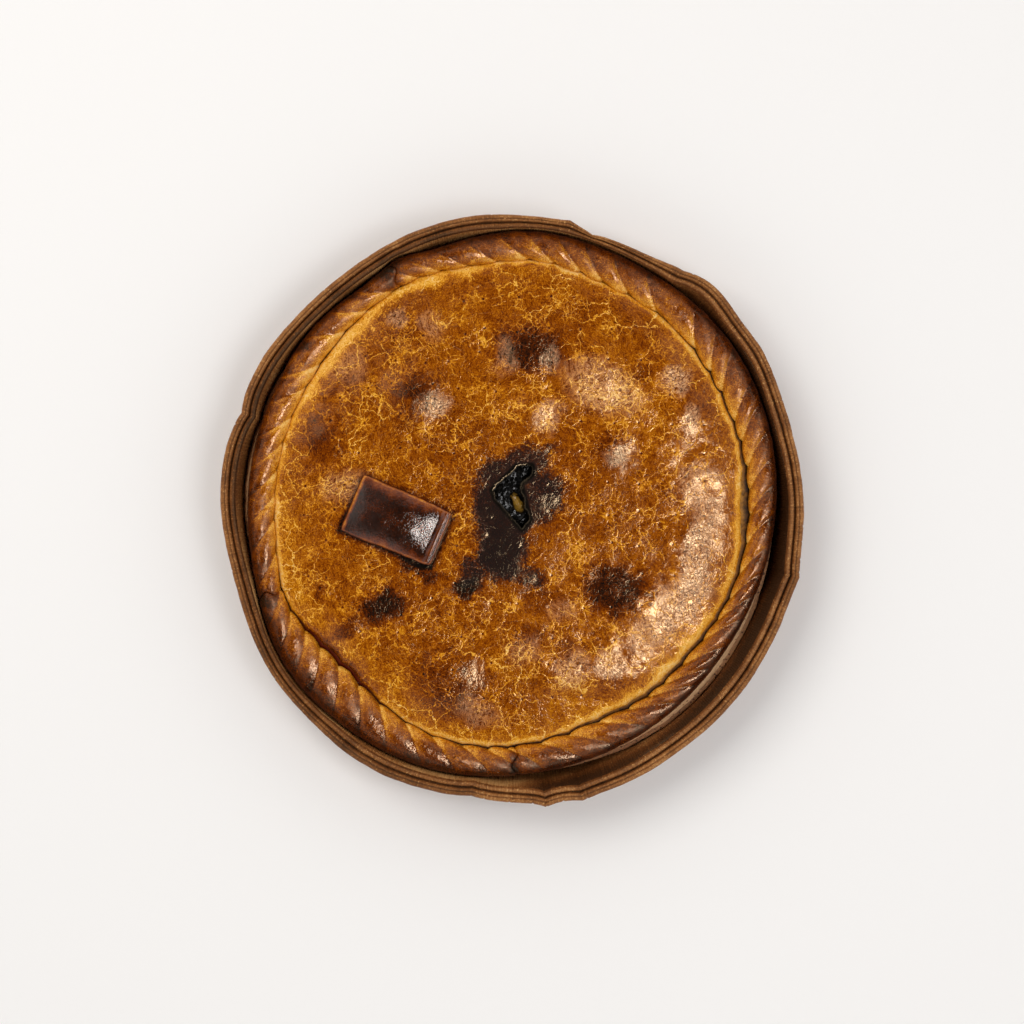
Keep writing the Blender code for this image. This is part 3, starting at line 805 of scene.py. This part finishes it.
def make_tag(paint):
    """The glazed rectangle of dough: a soft pillow with a rim along its right end."""
    lines = (np.linspace(-1.0, 1.0, count) for count in (TAG_ALONG, TAG_ACROSS))
    along, across = np.meshgrid(*lines, indexing="ij")
    short_x = 1.0 - TAG_CORNER / TAG_LENGTH * abs(across) ** 12
    short_y = 1.0 - TAG_CORNER / TAG_WIDTH * abs(along) ** 12 - TAG_TAPER * along
    right = 0.5 * TAG_LENGTH * along * short_x
    ahead = 0.5 * TAG_WIDTH * across * short_y
    ahead = ahead + 0.25 * MM * rough(right, 0.0 * right, 7.0, 43, 2)
    turn = math.radians(TAG_ANGLE)
    x = TAG_X + right * math.cos(turn) - ahead * math.sin(turn)
    y = TAG_Y + right * math.sin(turn) + ahead * math.cos(turn)
    from_end = 0.5 * TAG_LENGTH * (1.0 - abs(along)) * short_x
    from_side = 0.5 * TAG_WIDTH * (1.0 - abs(across)) * short_y
    inward = np.minimum(from_end, from_side)
    base = lid_base(x, y) + TAG_LIFT
    bevel = np.clip(inward / TAG_BEVEL, 0.02, 1.0)
    rounded = np.sqrt(bevel * (2.0 - bevel))
    crown = (1.0 - abs(along) ** np.where(along > 0.0, 2.0, 5.0)) * (1.0 - abs(across) ** 2.4)
    rim = ease(along, 0.76, 0.90)
    line = bell(along - 0.925, 0.012) * ease(inward, 0.2 * MM, 1.4 * MM)
    relief = TAG_THICKNESS + TAG_CROWN * crown + 0.8 * TAG_RIM_RISE * rim
    relief = relief + 0.10 * MM * rough(x, y, 6.0, 41, 2)
    height = base + relief * rounded - 0.45 * MM * line

    wedge = ease(across, 0.42 + 0.25 * along ** 2, 0.98)
    foot = ease(-across, 0.62, 0.92) * ease(along, -1.0, 0.0)
    side = ease(-along, 0.89, 0.93)
    pale = np.maximum.reduce([wedge, 0.8 * foot, 1.05 * side, 0.85 * rim])
    # Painted highlight: a thin pale line just inside the left, lower and upper edges.
    sides = (ease(-along, 0.8, 0.95), ease(-across, 0.7, 0.9), ease(across, 0.8, 0.95))
    painted_edge_highlight = np.maximum.reduce(sides) * bell(inward - 1.2 * MM, 0.4 * MM)
    blotch = rough(x, y, 4.0, 42, 3)
    bake = 0.83 - 0.26 * pale - 0.16 * painted_edge_highlight + 0.05 * blotch * (1.0 + 1.5 * pale)
    # Painted shade in the groove by the rim and along the very edge.
    bake = bake + 0.20 * line + 0.24 * ease(inward, 0.8 * MM, 0.2 * MM)
    rim_numbers = rim_of(TAG_ALONG, TAG_ACROSS)
    top = np.stack([x, y, height], axis=-1).reshape(-1, 3)
    points = [top]
    marks = [bake.ravel()]
    for drop in (0.9, 2.4):
        ring = top[rim_numbers].copy()
        ring[:, 2] = base.ravel()[rim_numbers] + (0.3 - drop) * MM
        points.append(ring)
        marks.append(np.full(rim_numbers.size, 0.84))
    skirt = skirt_faces(rim_numbers, along.size, 2)
    faces = np.concatenate([grid_faces(TAG_ALONG, TAG_ACROSS), skirt])
    matt = ease(along, 0.2, -0.8).ravel()
    matt = np.concatenate([matt, matt[rim_numbers], matt[rim_numbers]])
    new_piece(
        "dough_tag_glazed", np.concatenate(points), faces, paint, ["dough_tag"], "dark_dough",
        bake=np.concatenate(marks), matt=matt,
    )


FILLING_HALF_COUNT = 40
FILLING_CENTRE = (-1.0, 6.0)
FILLING_GAP = 0.6 * MM
FILLING_LUMPS = (
    (-0.6, 5.4, 2.8, 1.2), (6.0, 18.0, 3.2, 1.2), (6.4, -8.0, 2.6, 1.0), (-6.0, 7.0, 3.0, 0.8),
)
# The strip of filling that shows: its middle, half sizes and lean.
FILLING_STRIP = (3.0, 1.9, 6.6, 3.3, -64)


def vent_reach(angle):
    """How far the vent's outline lies from the middle of the filling at each angle."""
    way_x, way_y = to_xy(1.0, angle)
    reach = np.full(angle.shape, 30.0 * MM)
    for start_x, start_y, run_x, run_y in vent_edges(*FILLING_CENTRE):
        turn_of = way_x * run_y - way_y * run_x
        with np.errstate(divide="ignore", invalid="ignore"):
            distance = (start_x * run_y - start_y * run_x) / turn_of
            place = (start_x * way_y - start_y * way_x) / turn_of
        hit = (distance > 0.0) & (place >= -0.001) & (place <= 1.001)
        reach = np.where(hit, np.minimum(reach, distance), reach)
    return reach


def make_filling(paint):
    """The moist filling in the bottom of the vent, charred where it meets the crust."""
    share, angle = disc_grid(FILLING_HALF_COUNT)
    right, up = to_xy(share * (vent_reach(angle) - FILLING_GAP), angle)
    x = FILLING_CENTRE[0] * MM + right
    y = FILLING_CENTRE[1] * MM + up
    height = FILLING_TOP - 1.0 * MM + 0.35 * MM * rough(x, y, 2.2, 51, 2)
    height = height + np.maximum.reduce([mound(x, y, row) for row in FILLING_LUMPS])
    away = oval(x, y, *FILLING_STRIP)
    height = height + 3.0 * MM * np.clip(1.0 - away ** 2, 0.0, 1.0) ** 0.8
    height = height + 0.5 * MM * rough(x, y, 1.6, 52, 2) * (away < 1.2)
    char = ease(away + 0.2 * rough(x, y, 2.0, 53, 2), 0.55, 1.05)
    rim = rim_of(*share.shape)
    top = np.stack([x, y, height], axis=-1).reshape(-1, 3)
    low = top[rim].copy()
    low[:, 2] = DOME_TOP - VENT_DEPTH
    faces = np.concatenate([grid_faces(*share.shape), skirt_faces(rim, share.size, 1)])
    char = np.append(char.ravel(), np.ones(rim.size))
    points = np.concatenate([top, low])
    new_piece("vent_filling", points, faces, paint, ["filling"], "filling", char=char)


CASE_STEPS = CASE_RIBS * SAMPLES_PER_RIB
# About the length of one degree of the rim, for the paper's relief and stains.
CASE_ARC = 2.8 * MM
WALL_RINGS = 9
WALL_FOOT = 2.8 * MM
WALL_TOP = 31.4 * MM
WALL_TOP_OUTSIDE = 29.0 * MM
LIP_FOOT = 31.8 * MM
# The lip's underside: its share of the lip's width, and its height in millimetres.
LIP_UNDER = ((0.95, 31.6), (0.72, 30.6), (0.30, 30.4))
LIP_START = 0.10
LIP_BAND = 0.36
LIP_GROOVE = 0.42
LIP_CREASE = 0.70
LIP_POINTS = 30
# Cracks across the rolled edge: angle, half width in degrees, depth in millimetres.
LIP_CRACKS = (
    (14, 0.10, 0.5), (21.5, 0.12, 0.7), (52.0, 0.14, 0.8), (94, 0.10, 0.6), (131, 0.12, 0.6),
    (163.5, 0.12, 0.8), (193, 0.10, 0.6), (216, 0.10, 0.5), (264.5, 0.12, 0.7),
    (269.5, 0.12, 0.9), (274.0, 0.10, 1.0), (276.6, 0.12, 1.2), (279.9, 0.14, 1.2),
    (284.5, 0.10, 0.7), (347.0, 0.10, 0.8), (349.5, 0.12, 0.9), (353.0, 0.10, 0.6),
    (356.0, 0.12, 0.8),
)


def ribs(angle):
    """The paper's fine upright ribs, from -1 to 1."""
    uneven = 1.2 * np.sin(np.radians(23.0 * angle)) + 0.9 * np.sin(np.radians(61.0 * angle))
    return np.sin(np.radians(CASE_RIBS * angle) + uneven)


def lip_depth(across):
    """How far the lip lies below the case's top, in millimetres, across its width."""
    band = 1.1 + 1.9 * ease(across, LIP_START, 0.0) + 0.25 * ease(across, 0.2, LIP_BAND)
    roll_place = np.clip((across - 0.73) / 0.27, -1.0, 1.0)
    roll = 2.2 - 2.2 * np.sqrt(1.0 - roll_place ** 2)
    blend = ease(across, LIP_BAND, 0.48)
    grooves = 1.5 * bell(across - LIP_GROOVE, 0.035) + 0.5 * bell(across - LIP_CREASE, 0.03)
    return band * (1.0 - blend) + roll * blend + grooves


def make_case(paint):
    """The ribbed paper case: floor, flared wall, flat band and rolled edge."""
    angle = np.arange(CASE_STEPS) * TURN / CASE_STEPS

    def patchy(across, size, seed, octaves=3):
        return rough(angle * CASE_ARC, across, size, seed, octaves)

    outer = case_outer(angle) + 0.25 * MM * patchy(0.0, 11.0, 61)
    wave = 0.45 * MM * patchy(0.0, 26.0, 62, 2)
    crack = MM * total_near(angle, LIP_CRACKS)
    rib = ribs(angle)
    even = np.ones(CASE_STEPS)
    floor = wall_inner(angle, WALL_FOOT) - CASE_FOOT_ROUND
    rings = [polar(0.5 * floor, angle, CASE_PAPER), polar(floor, angle, CASE_PAPER)]
    stain = [0.75 * even, 0.75 * even]
    for level in np.linspace(WALL_FOOT, WALL_TOP, WALL_RINGS):
        radius = wall_inner(angle, level)
        rings.append(polar(radius + RIB_DEPTH * rib, angle, level))
        # Darker high up where the wall stands away from the pie, and painted shade on the wall at
        # the right.
        room = ease(radius - rope_outer(angle), 3.0 * MM, 9.0 * MM)
        dark = 0.08 + 0.74 * room * ease(level, 10.0 * MM, 24.0 * MM) + near(angle, 14, 26, 0.78)
        stain.append(dark + 0.16 * patchy(level, 22.0, 63))
    wall_end = len(rings)
    inner = wall_inner(angle, LIP_FOOT)
    for across in np.linspace(0.0, 1.0, LIP_POINTS):
        place = across * 8.0 * MM
        on_roll = ease(across, 0.45, 0.6)
        height = CASE_HEIGHT - lip_depth(across) * MM + wave + 0.07 * MM * rib
        height = height - 0.7 * crack * on_roll + 0.16 * MM * patchy(place, 2.2, 64, 2)
        radius = inner + across * (outer - inner) - 0.35 * crack * (across > 0.9)
        rings.append(polar(radius, angle, height))
        # Painted shade in the groove, the crease and the left's inner band; darker towards the
        # inner edge and on the roll at the lower left.
        dark = 0.55 * bell(across - LIP_GROOVE, 0.05) + 0.34 * bell(across - LIP_CREASE, 0.03)
        dark = dark + near(angle, 228, 24, 0.18) * on_roll + 0.22 * ease(across, 0.24, 0.0)
        dark = dark + near(angle, 150, 48, 0.46) * ease(across, 0.42, 0.16)
        stain.append(0.20 + dark + 0.14 * patchy(place, 9.0, 65))
    lip_end = len(rings)
    for share, level in LIP_UNDER:
        rings.append(polar(inner + share * (outer - inner), angle, level * MM + wave))
        stain.append(0.35 * even)
    for level in np.linspace(WALL_TOP_OUTSIDE, WALL_FOOT, WALL_RINGS):
        radius = wall_inner(angle, level) + CASE_PAPER + RIB_DEPTH * rib
        rings.append(polar(radius, angle, level))
        stain.append(0.25 + 0.18 * patchy(level, 20.0, 66))
    for share in (1.0, 0.5):
        rings.append(polar(share * (floor + CASE_PAPER), angle, 0.0))
        stain.append(0.3 * even)

    parts = {
        "case_inside": slice(0, wall_end + 1),
        "case_lip": slice(wall_end, lip_end),
        "case_outside": slice(lip_end - 1, len(rings)),
    }
    for name, span in parts.items():
        count = len(rings[span])
        new_piece(
            name, np.concatenate(rings[span]), grid_faces(count, CASE_STEPS, closed=True), paint,
            ["paper_case"], "kraft_paper",
            stain=np.concatenate(stain[span]), around=np.tile(angle, count),
        )


def srgb(red, green, blue):
    """A colour given as 0 to 255, in Blender's linear values."""
    parts = np.array([red, green, blue]) / 255.0
    linear = np.where(parts <= 0.04045, parts / 12.92, ((parts + 0.055) / 1.055) ** 2.4)
    return (*linear.tolist(), 1.0)


class Wire:
    """What runs between a material's nodes. Arithmetic on it adds the nodes that work it out."""

    def __init__(self, paint, socket):
        self.paint = paint
        self.socket = socket

    def work(self, operation, *others):
        kind = "Math" if self.socket.type == "VALUE" else "VectorMath"
        inputs = dict(enumerate((self, *others)))
        return self.paint.node(kind, 0, inputs, operation=operation)

    def __abs__(self):
        return self.work("ABSOLUTE")

    def __add__(self, other):
        return self.work("ADD", other)

    def __sub__(self, other):
        return self.work("SUBTRACT", other)

    def __rsub__(self, other):
        return self * -1.0 + other

    def __mul__(self, other):
        return self.work("MULTIPLY", other)

    def __truediv__(self, other):
        return self.work("DIVIDE", other)


def most(first, *others):
    """The largest of some wires."""
    for other in others:
        first = first.work("MAXIMUM", other)
    return first


class Paint:
    """A material or a sky, made node by node."""

    def __init__(self, owner, shader="Principled BSDF"):
        self.owner = owner
        owner.use_nodes = True
        self.tree = owner.node_tree
        self.shader = self.tree.nodes[shader]

    def feed(self, socket, value):
        if isinstance(value, Wire):
            self.tree.links.new(value.socket, socket)
        else:
            socket.default_value = value

    def node(self, kind, output, inputs=(), **settings):
        """Adds a node and returns the wire from one of its outputs."""
        made = self.tree.nodes.new("ShaderNode" + kind)
        for key, value in settings.items():
            setattr(made, key, value)
        for key, value in dict(inputs).items():
            self.feed(made.inputs[key], value)
        return Wire(self, made.outputs[output])

    def mark(self, name, output="Fac"):
        return self.node("Attribute", output, attribute_name=name)

    def place(self):
        """The point's place on the object in millimetres."""
        return self.node("TexCoord", "Object") * (1.0 / MM, 1.0 / MM, 1.0 / MM)

    def between(self, value, low, high):
        """0 at low and 1 at high, smooth and held outside. low may be the larger one."""
        inputs = {"Value": value, "From Min": low, "From Max": high}
        return self.node("MapRange", "Result", inputs, interpolation_type="SMOOTHSTEP")

    def noise(self, place, scale, detail=0.0, roughness=0.5, distortion=0.0, output="Fac"):
        inputs = {"Vector": place, "Scale": scale, "Detail": detail}
        inputs.update({"Roughness": roughness, "Distortion": distortion})
        return self.node("TexNoise", output, inputs)

    def swing(self, *noise):
        """A noise from about -0.5 to 0.5."""
        return self.noise(*noise) - 0.5

    def drift(self, place, scale, detail):
        """A noise from about -0.5 to 0.5 in each direction."""
        return self.noise(place, scale, detail, output="Color") - (0.5, 0.5, 0.5)

    def patches(self, low, high, *noise):
        """1 in the patches where a noise is high, 0 where it is low."""
        return self.between(self.noise(*noise), low, high)

    def ridge(self, low, high, *noise):
        """Lines along which a noise passes its middle: 1 on them, 0 beside them."""
        return self.between(abs(self.swing(*noise)), high, low)

    def cell_edges(self, low, high, place, scale):
        """Lines between the cells of a pattern: 1 on them, 0 beside them."""
        inputs = {"Vector": place, "Scale": scale}
        edge = self.node("TexVoronoi", "Distance", inputs, feature="DISTANCE_TO_EDGE")
        return self.between(edge, high, low)

    def ramp(self, value, stops):
        """A colour for each value. A stop is a value and its colour from 0 to 255."""
        colour = self.node("ValToRGB", "Color", {"Fac": value})
        row = colour.socket.node.color_ramp.elements
        while len(row) < len(stops):
            row.new(0.5)
        for element, (place, *shade) in zip(row, stops):
            element.position = place
            element.color = srgb(*shade)
        return colour

    def mix(self, share, first, second):
        """A blend of two colours, for which the node has inputs 6 and 7 and output 2."""
        inputs = {"Factor": share, 6: first, 7: second}
        return self.node("Mix", 2, inputs, data_type="RGBA")

    def bump(self, height, distance):
        inputs = {"Height": height, "Distance": distance, "Strength": 1.0}
        self.feed(self.shader.inputs["Normal"], self.node("Bump", "Normal", inputs))

    def finish(self, colour, roughness, specular, tint=(1.0, 1.0, 1.0, 1.0)):
        """Feeds the shader. A constant stays on the shader's own socket."""
        names = ("Base Color", "Roughness", "Specular IOR Level", "Specular Tint")
        for name, value in zip(names, (colour, roughness, specular, tint)):
            self.feed(self.shader.inputs[name], value)
        return self.owner


def new_paint(name):
    return Paint(bpy.data.materials.new(name))


# Reflections on the crust are warm, as in the photograph.
WARM_SHINE = (1.0, 0.72, 0.42, 1.0)
PINK_SHINE = (1.0, 0.68, 0.44, 1.0)
TAG_SHINE = (1.0, 0.90, 0.84, 1.0)
# Pale pink painted on crazed glaze as a painted highlight.
PAINTED_SHEEN_COLOUR = srgb(236, 190, 146)
# The crust's colour from raw dough to char: how dark it is from baking and painted shade, and the
# colour.
BAKE_COLOURS = (
    (0.00, 238, 196, 120),
    (0.14, 236, 174, 58),
    (0.28, 206, 131, 20),
    (0.42, 158, 84, 8),
    (0.55, 122, 55, 2),
    (0.68, 88, 34, 3),
    (0.80, 52, 20, 5),
    (0.91, 26, 13, 8),
    (1.00, 13, 10, 9),
)
SIDE_COLOURS = ((0.0, 248, 200, 146), (0.3, 206, 146, 94), (0.6, 112, 68, 38), (0.9, 52, 30, 18))
# The seam, from golden dough by the lid to painted shade by the rope.
SEAM_COLOURS = ((0.0, 204, 146, 50), (0.3, 160, 110, 36), (0.6, 104, 70, 26), (0.85, 44, 27, 11))
FILLING_COLOURS = ((0.0, 134, 100, 34), (0.35, 96, 70, 24), (0.7, 18, 13, 9), (1.0, 5, 4, 3))
PAPER_COLOURS = (
    (0.0, 186, 138, 84),
    (0.15, 152, 98, 50),
    (0.40, 112, 64, 28),
    (0.65, 80, 43, 17),
    (0.9, 50, 26, 10),
)


def glaze_strands(paint, place):
    """Fine wavy strands of the glaze. They run up and down the lid and turn as they go."""
    turned = place + paint.drift(place, 0.026, 1.0) * (34.0, 34.0, 0.0)
    turned = turned + paint.drift(place, 0.42, 1.0) * (2.6, 2.6, 0.0)
    strands = paint.ridge(0.01, 0.13, turned * (1.0, 0.36, 1.0), 0.66, 1.0)
    crossing = paint.ridge(0.01, 0.10, turned * (0.55, 0.85, 1.0), 0.80, 1.0)
    return most(strands, crossing * 0.8)


def curly_lines(paint, place, wool):
    """Fine pale cracks of the glaze: curls where wool is near 1, and a broken net of lines."""
    bent = place + paint.drift(place, 0.30, 2.0) * (5.0, 5.0, 5.0)
    curl = paint.ridge(0.008, 0.045, bent, 0.42) * paint.patches(0.42, 0.62, place, 0.14, 1.0)
    wide = paint.cell_edges(0.008, 0.034, bent, 0.09)
    wide = wide * paint.patches(0.44, 0.54, place, 0.06, 1.0)
    net = paint.cell_edges(0.015, 0.070, bent, 0.24)
    net = net * paint.patches(0.48, 0.60, place, 0.08, 1.0) * 0.7
    return most(curl * wool, net, wide)


def prick_marks(paint):
    """The dark dot of each prick and the pale cracks that spread from it."""
    way = paint.mark("way", "Vector")
    number = paint.node("SeparateXYZ", "Z", {"Vector": way})
    flat = way * (1.0, 1.0, 0.0)
    away = paint.node("VectorMath", "Value", {0: flat}, operation="LENGTH")
    dot = paint.between(away, 1.05, 0.30)
    lift = paint.node("CombineXYZ", "Vector", {"Z": number * 13.7 + away * 0.10})
    bearing = flat.work("NORMALIZE") * (1.35, 1.35, 0.0)
    ray = paint.between(abs(paint.swing(bearing + lift, 1.3, 1.0)) * away, 0.24, 0.07)
    chance = (number * 7.3).work("FRACT")
    fade = paint.between(away / (chance * 6.0 + 1.5), 1.0, 0.4)
    return dot, ray * fade * (chance * 0.5 + 0.3)


def long_cracks(paint, place):
    """The pale cracks that run from prick to prick."""
    away = abs(paint.swing(place, 0.55, 2.0, 0.6) * 2.2 + paint.mark("crack"))
    return paint.between(away, 0.44, 0.10) * paint.patches(0.42, 0.56, place, 0.10, 2.0, 0.6)


def crazed_plates(paint, place):
    """Fine gaps between the wrinkled plates of crazed glaze."""
    bent = place + paint.drift(place, 0.40, 2.0) * (4.0, 4.0, 0.0)
    return paint.cell_edges(0.02, 0.11, bent * (0.55, 1.0, 1.0), 0.56)


def lid_paint():
    """Egg-glazed crust: baking marks with painted shade, fine strands, pale cracks, pricks, char,
    and a painted pale sheen on crazed glaze.
    """
    paint = new_paint("baked_crust_glazed")
    place = paint.place()
    bake = paint.mark("bake")
    char = paint.mark("char")
    craze_and_sheen = paint.mark("craze_and_sheen")
    strands = glaze_strands(paint, place)
    dot, ray = prick_marks(paint)
    lines = most(curly_lines(paint, place, paint.mark("wool")), ray, long_cracks(paint, place))
    lines = lines * paint.mark("crackle") * paint.between(char, 1.35, 0.45)
    gaps = crazed_plates(paint, place) * craze_and_sheen
    grain = paint.swing(place, 1.4, 3.0, 0.7)
    crumbs = paint.swing(place, 0.85, 3.0, 0.75)
    charred = paint.between(crumbs * 1.4 + char, 0.18, 0.88) * paint.between(char, 0.0, 0.30)

    level = bake + grain * 0.66 + paint.swing(place, 0.15, 2.0, 0.6) * 0.24 + 0.065
    level = level - lines * (paint.between(bake, 0.95, 0.66) * 0.28 + 0.04)
    level = level - strands * (craze_and_sheen * 0.10 + 0.15) * (1.0 - paint.mark("raw") * 0.2)
    level = level + paint.patches(0.58, 0.70, place, 0.9, 2.0, 0.6) * 0.10
    level = level + dot * 0.36 + gaps * 0.22 + charred * 0.25 + char * 0.07
    # Painted highlight: crazed glaze turned pale, broken by the gaps between its plates.
    painted_sheen = (strands * 0.40 - gaps * 0.6 + 0.14) * craze_and_sheen
    ash = paint.patches(0.58, 0.74, place, 1.0, 2.0, 0.7)
    ash = ash * paint.between(char, 0.35, 0.75) * paint.between(char, 1.0, 0.82)
    colour = paint.mix(painted_sheen, paint.ramp(level, BAKE_COLOURS), PAINTED_SHEEN_COLOUR)
    colour = paint.mix(charred * 0.84, colour, srgb(34, 25, 23))
    colour = paint.mix(ash * 0.55, colour, srgb(158, 112, 92))
    colour = paint.mix(paint.between(char, 0.95, 1.35), colour, srgb(14, 12, 10))

    wrinkles = paint.noise(place * (0.62, 1.0, 1.0), 0.62, 1.0, 0.5, 1.2) * (craze_and_sheen * 0.2 + 0.7)
    fine = paint.noise(place * (0.7, 1.3, 1.0), 1.1, 1.0, 0.5, 0.8) * craze_and_sheen
    height = wrinkles + fine * 0.3 + lines * 0.8 + strands * (craze_and_sheen * 0.3 + 0.2) - gaps
    height = height + grain * 0.12 - dot * 0.5 + crumbs * char * 0.4
    paint.bump(height, 0.10 * MM)
    roughness = paint.noise(place, 0.09, 2.0) * 0.14 + 0.06
    return paint.finish(colour, roughness, 0.55, WARM_SHINE)


def rope_paint():
    """Glossy rope dough: browned backs, yellow creases and a dull outer edge."""
    paint = new_paint("rope_crust_glazed")
    place = paint.place()
    lines = curly_lines(paint, place, 0.8)
    grain = paint.swing(place, 1.7, 3.0, 0.8)
    blotch = paint.swing(place, 0.22, 2.0, 0.6)
    level = paint.mark("bake") + grain * 1.35 + blotch * 0.40 - lines * 0.12
    colour = paint.ramp(level, BAKE_COLOURS)
    colour = paint.mix(paint.mark("dull") * 0.55, colour, srgb(104, 58, 40))
    roughness = paint.patches(0.40, 0.60, place, 0.08, 2.0, 0.6) * 0.26 + 0.17
    paint.bump(lines * 0.5 + grain * 0.5 + paint.noise(place, 0.55, 2.0) * 2.2, 0.12 * MM)
    return paint.finish(colour, roughness, 0.65, PINK_SHINE)


def side_paint():
    """The dry side of the pie: pale taupe dough with pinholes."""
    paint = new_paint("side_crust_dry")
    place = paint.place()
    grain = paint.swing(place, 0.7, 4.0, 0.65)
    holes = paint.node("TexVoronoi", "Distance", {"Vector": place, "Scale": 0.42})
    holes = paint.between(holes, 0.26, 0.12)
    bake = paint.mark("bake")
    glaze = paint.mark("glaze")
    dough = paint.ramp(bake + grain * 0.45 + holes * 0.35, SIDE_COLOURS)
    seam = paint.ramp(bake + grain * 0.6, SEAM_COLOURS)
    colour = paint.mix(paint.mark("raw"), dough, seam)
    colour = paint.mix(glaze, colour, srgb(92, 30, 14))
    paint.bump(grain - holes * 1.5, 0.4 * MM)
    return paint.finish(colour, 0.75 - glaze * 0.5, 0.3)


def tag_paint():
    """The tag's thick dark glaze, with a finely grained shine."""
    paint = new_paint("dark_dough_glazed")
    place = paint.place()
    level = paint.mark("bake") + paint.swing(place, 1.2, 3.0, 0.7) * 0.44
    roughness = paint.mark("matt") * 0.16 + 0.10
    paint.bump(paint.noise(place, 0.9, 2.0, 0.6), 0.24 * MM)
    return paint.finish(paint.ramp(level, BAKE_COLOURS), roughness, 0.6, TAG_SHINE)


def filling_paint():
    """Moist olive-yellow filling, charred round its edge."""
    paint = new_paint("filling_moist")
    grain = paint.swing(paint.place(), 0.9, 3.0, 0.6)
    colour = paint.ramp(paint.mark("char") + grain * 0.5, FILLING_COLOURS)
    paint.bump(grain, 0.22 * MM)
    return paint.finish(colour, 0.16, 0.22)


def paper_paint():
    """Brown kraft paper: fine upright ribs, fibres, stains with painted shade, and pale flecks
    that are partly wear and partly painted glints.
    """
    paint = new_paint("kraft_paper_ribbed")
    place = paint.place()
    fibre = paint.swing(place, 0.9, 4.0, 0.7)
    around = paint.node("CombineXYZ", "Vector", {"X": paint.mark("around")})
    rib = paint.swing(around, 2.6, 2.0, 0.6)
    # Pale flecks: partly worn paper and partly painted glints.
    wear_and_glints = paint.patches(0.57, 0.68, place, 0.8, 3.0, 0.75)
    level = paint.mark("stain") + fibre * 0.70 + rib * 0.55 - wear_and_glints * 0.44 + 0.06
    paint.bump(rib * 1.2 + fibre, 0.3 * MM)
    return paint.finish(paint.ramp(level, PAPER_COLOURS), 0.5, 0.35, WARM_SHINE)


# The camera looks straight down, from above the middle of the picture.
CAMERA_HEIGHT = 1.6
CAMERA_Y = -3.3 * MM
PICTURE_WIDTH = 578.6 * MM
SENSOR = 36.0
FLOOR_SIZE = 12.0


def make_camera():
    camera = bpy.data.cameras.new("camera")
    camera.sensor_width = SENSOR
    camera.lens = SENSOR * CAMERA_HEIGHT / PICTURE_WIDTH
    camera.clip_start = 0.05
    camera.clip_end = 50.0
    item = place_object("camera", camera)
    item.location = (0.0, CAMERA_Y, CAMERA_HEIGHT)
    bpy.context.scene.camera = item


def make_floor():
    """A plain pale floor."""
    half = 0.5 * FLOOR_SIZE
    corners = [(-half, -half, 0.0), (half, -half, 0.0), (half, half, 0.0), (-half, half, 0.0)]
    mesh = bpy.data.meshes.new("floor")
    mesh.from_pydata(corners, [], [(0, 1, 2, 3)])
    mesh.materials.append(new_paint("pale_floor").finish(srgb(247, 245, 243), 0.9, 0.0))
    place_object("floor", mesh)


# Soft boxes: the angle they stand at, degrees from the zenith, distance, their size towards
# the zenith and along the horizon, power, colour, and whether they light the surfaces and
# whether they show in reflections.
LIGHTS = (
    ("main", -20, 25, 1.9, (0.75, 0.90), 9.0, (0.98, 0.97, 0.98), True, False),
    ("main_shine", -24, 26, 1.9, (0.36, 0.76), 32.0, (1.0, 0.98, 0.98), False, True),
    ("left_shine", 148, 36, 2.2, (0.6, 0.6), 1.7, (1.0, 0.97, 0.94), False, True),
    ("left_fill", 140, 36, 2.2, (1.3, 1.3), 20.0, (1.0, 0.97, 0.93), True, False),
)
SKY_LOW = 0.91
SKY_HIGH = 0.02
SKY_LOW_ENDS = 0.60
SKY_HIGH_STARTS = 0.88


def make_lights():
    for name, angle, tilt, distance, size, power, colour, lights_up, shines in LIGHTS:
        light = bpy.data.lights.new(name, "AREA")
        light.shape = "RECTANGLE"
        light.size, light.size_y = size
        light.energy = power
        light.color = colour
        item = place_object(name, light)
        turn, lean = math.radians(angle), math.radians(tilt)
        item.location = (
            distance * math.sin(lean) * math.cos(turn),
            distance * math.sin(lean) * math.sin(turn),
            distance * math.cos(lean),
        )
        item.rotation_euler = (0.0, lean, turn)
        item.visible_camera = False
        item.visible_diffuse = lights_up
        item.visible_glossy = shines


def make_world():
    """A sky that is bright towards the horizon and dark overhead."""
    world = bpy.data.worlds.new("studio")
    sky = Paint(world, "Background")
    height = sky.node("SeparateXYZ", "Z", {"Vector": sky.node("TexCoord", "Generated")})
    grade = {"Value": height, "From Min": SKY_LOW_ENDS, "From Max": SKY_HIGH_STARTS}
    grade.update({"To Min": SKY_LOW, "To Max": SKY_HIGH})
    grade = sky.node("MapRange", "Result", grade, interpolation_type="SMOOTHSTEP")
    sky.feed(sky.shader.inputs["Color"], (1.0, 1.0, 1.0, 1.0))
    sky.feed(sky.shader.inputs["Strength"], grade)
    bpy.context.scene.world = world
    bpy.context.scene.view_settings.view_transform = "Standard"


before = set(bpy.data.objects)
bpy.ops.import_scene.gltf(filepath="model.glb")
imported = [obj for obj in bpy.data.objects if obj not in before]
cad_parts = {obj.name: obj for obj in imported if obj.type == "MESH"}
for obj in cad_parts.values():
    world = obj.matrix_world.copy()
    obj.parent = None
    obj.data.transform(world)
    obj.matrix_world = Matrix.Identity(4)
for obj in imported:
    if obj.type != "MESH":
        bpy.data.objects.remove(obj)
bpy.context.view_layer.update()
make_camera()
make_floor()
make_lights()
make_world()
make_lid(lid_paint())
make_side(side_paint())
twist = rope_paint()
for rope_name, (first_angle, last_angle) in ROPES.items():
    make_rope(rope_name, first_angle, last_angle, twist)
make_tag(tag_paint())
make_filling(filling_paint())
make_case(paper_paint())
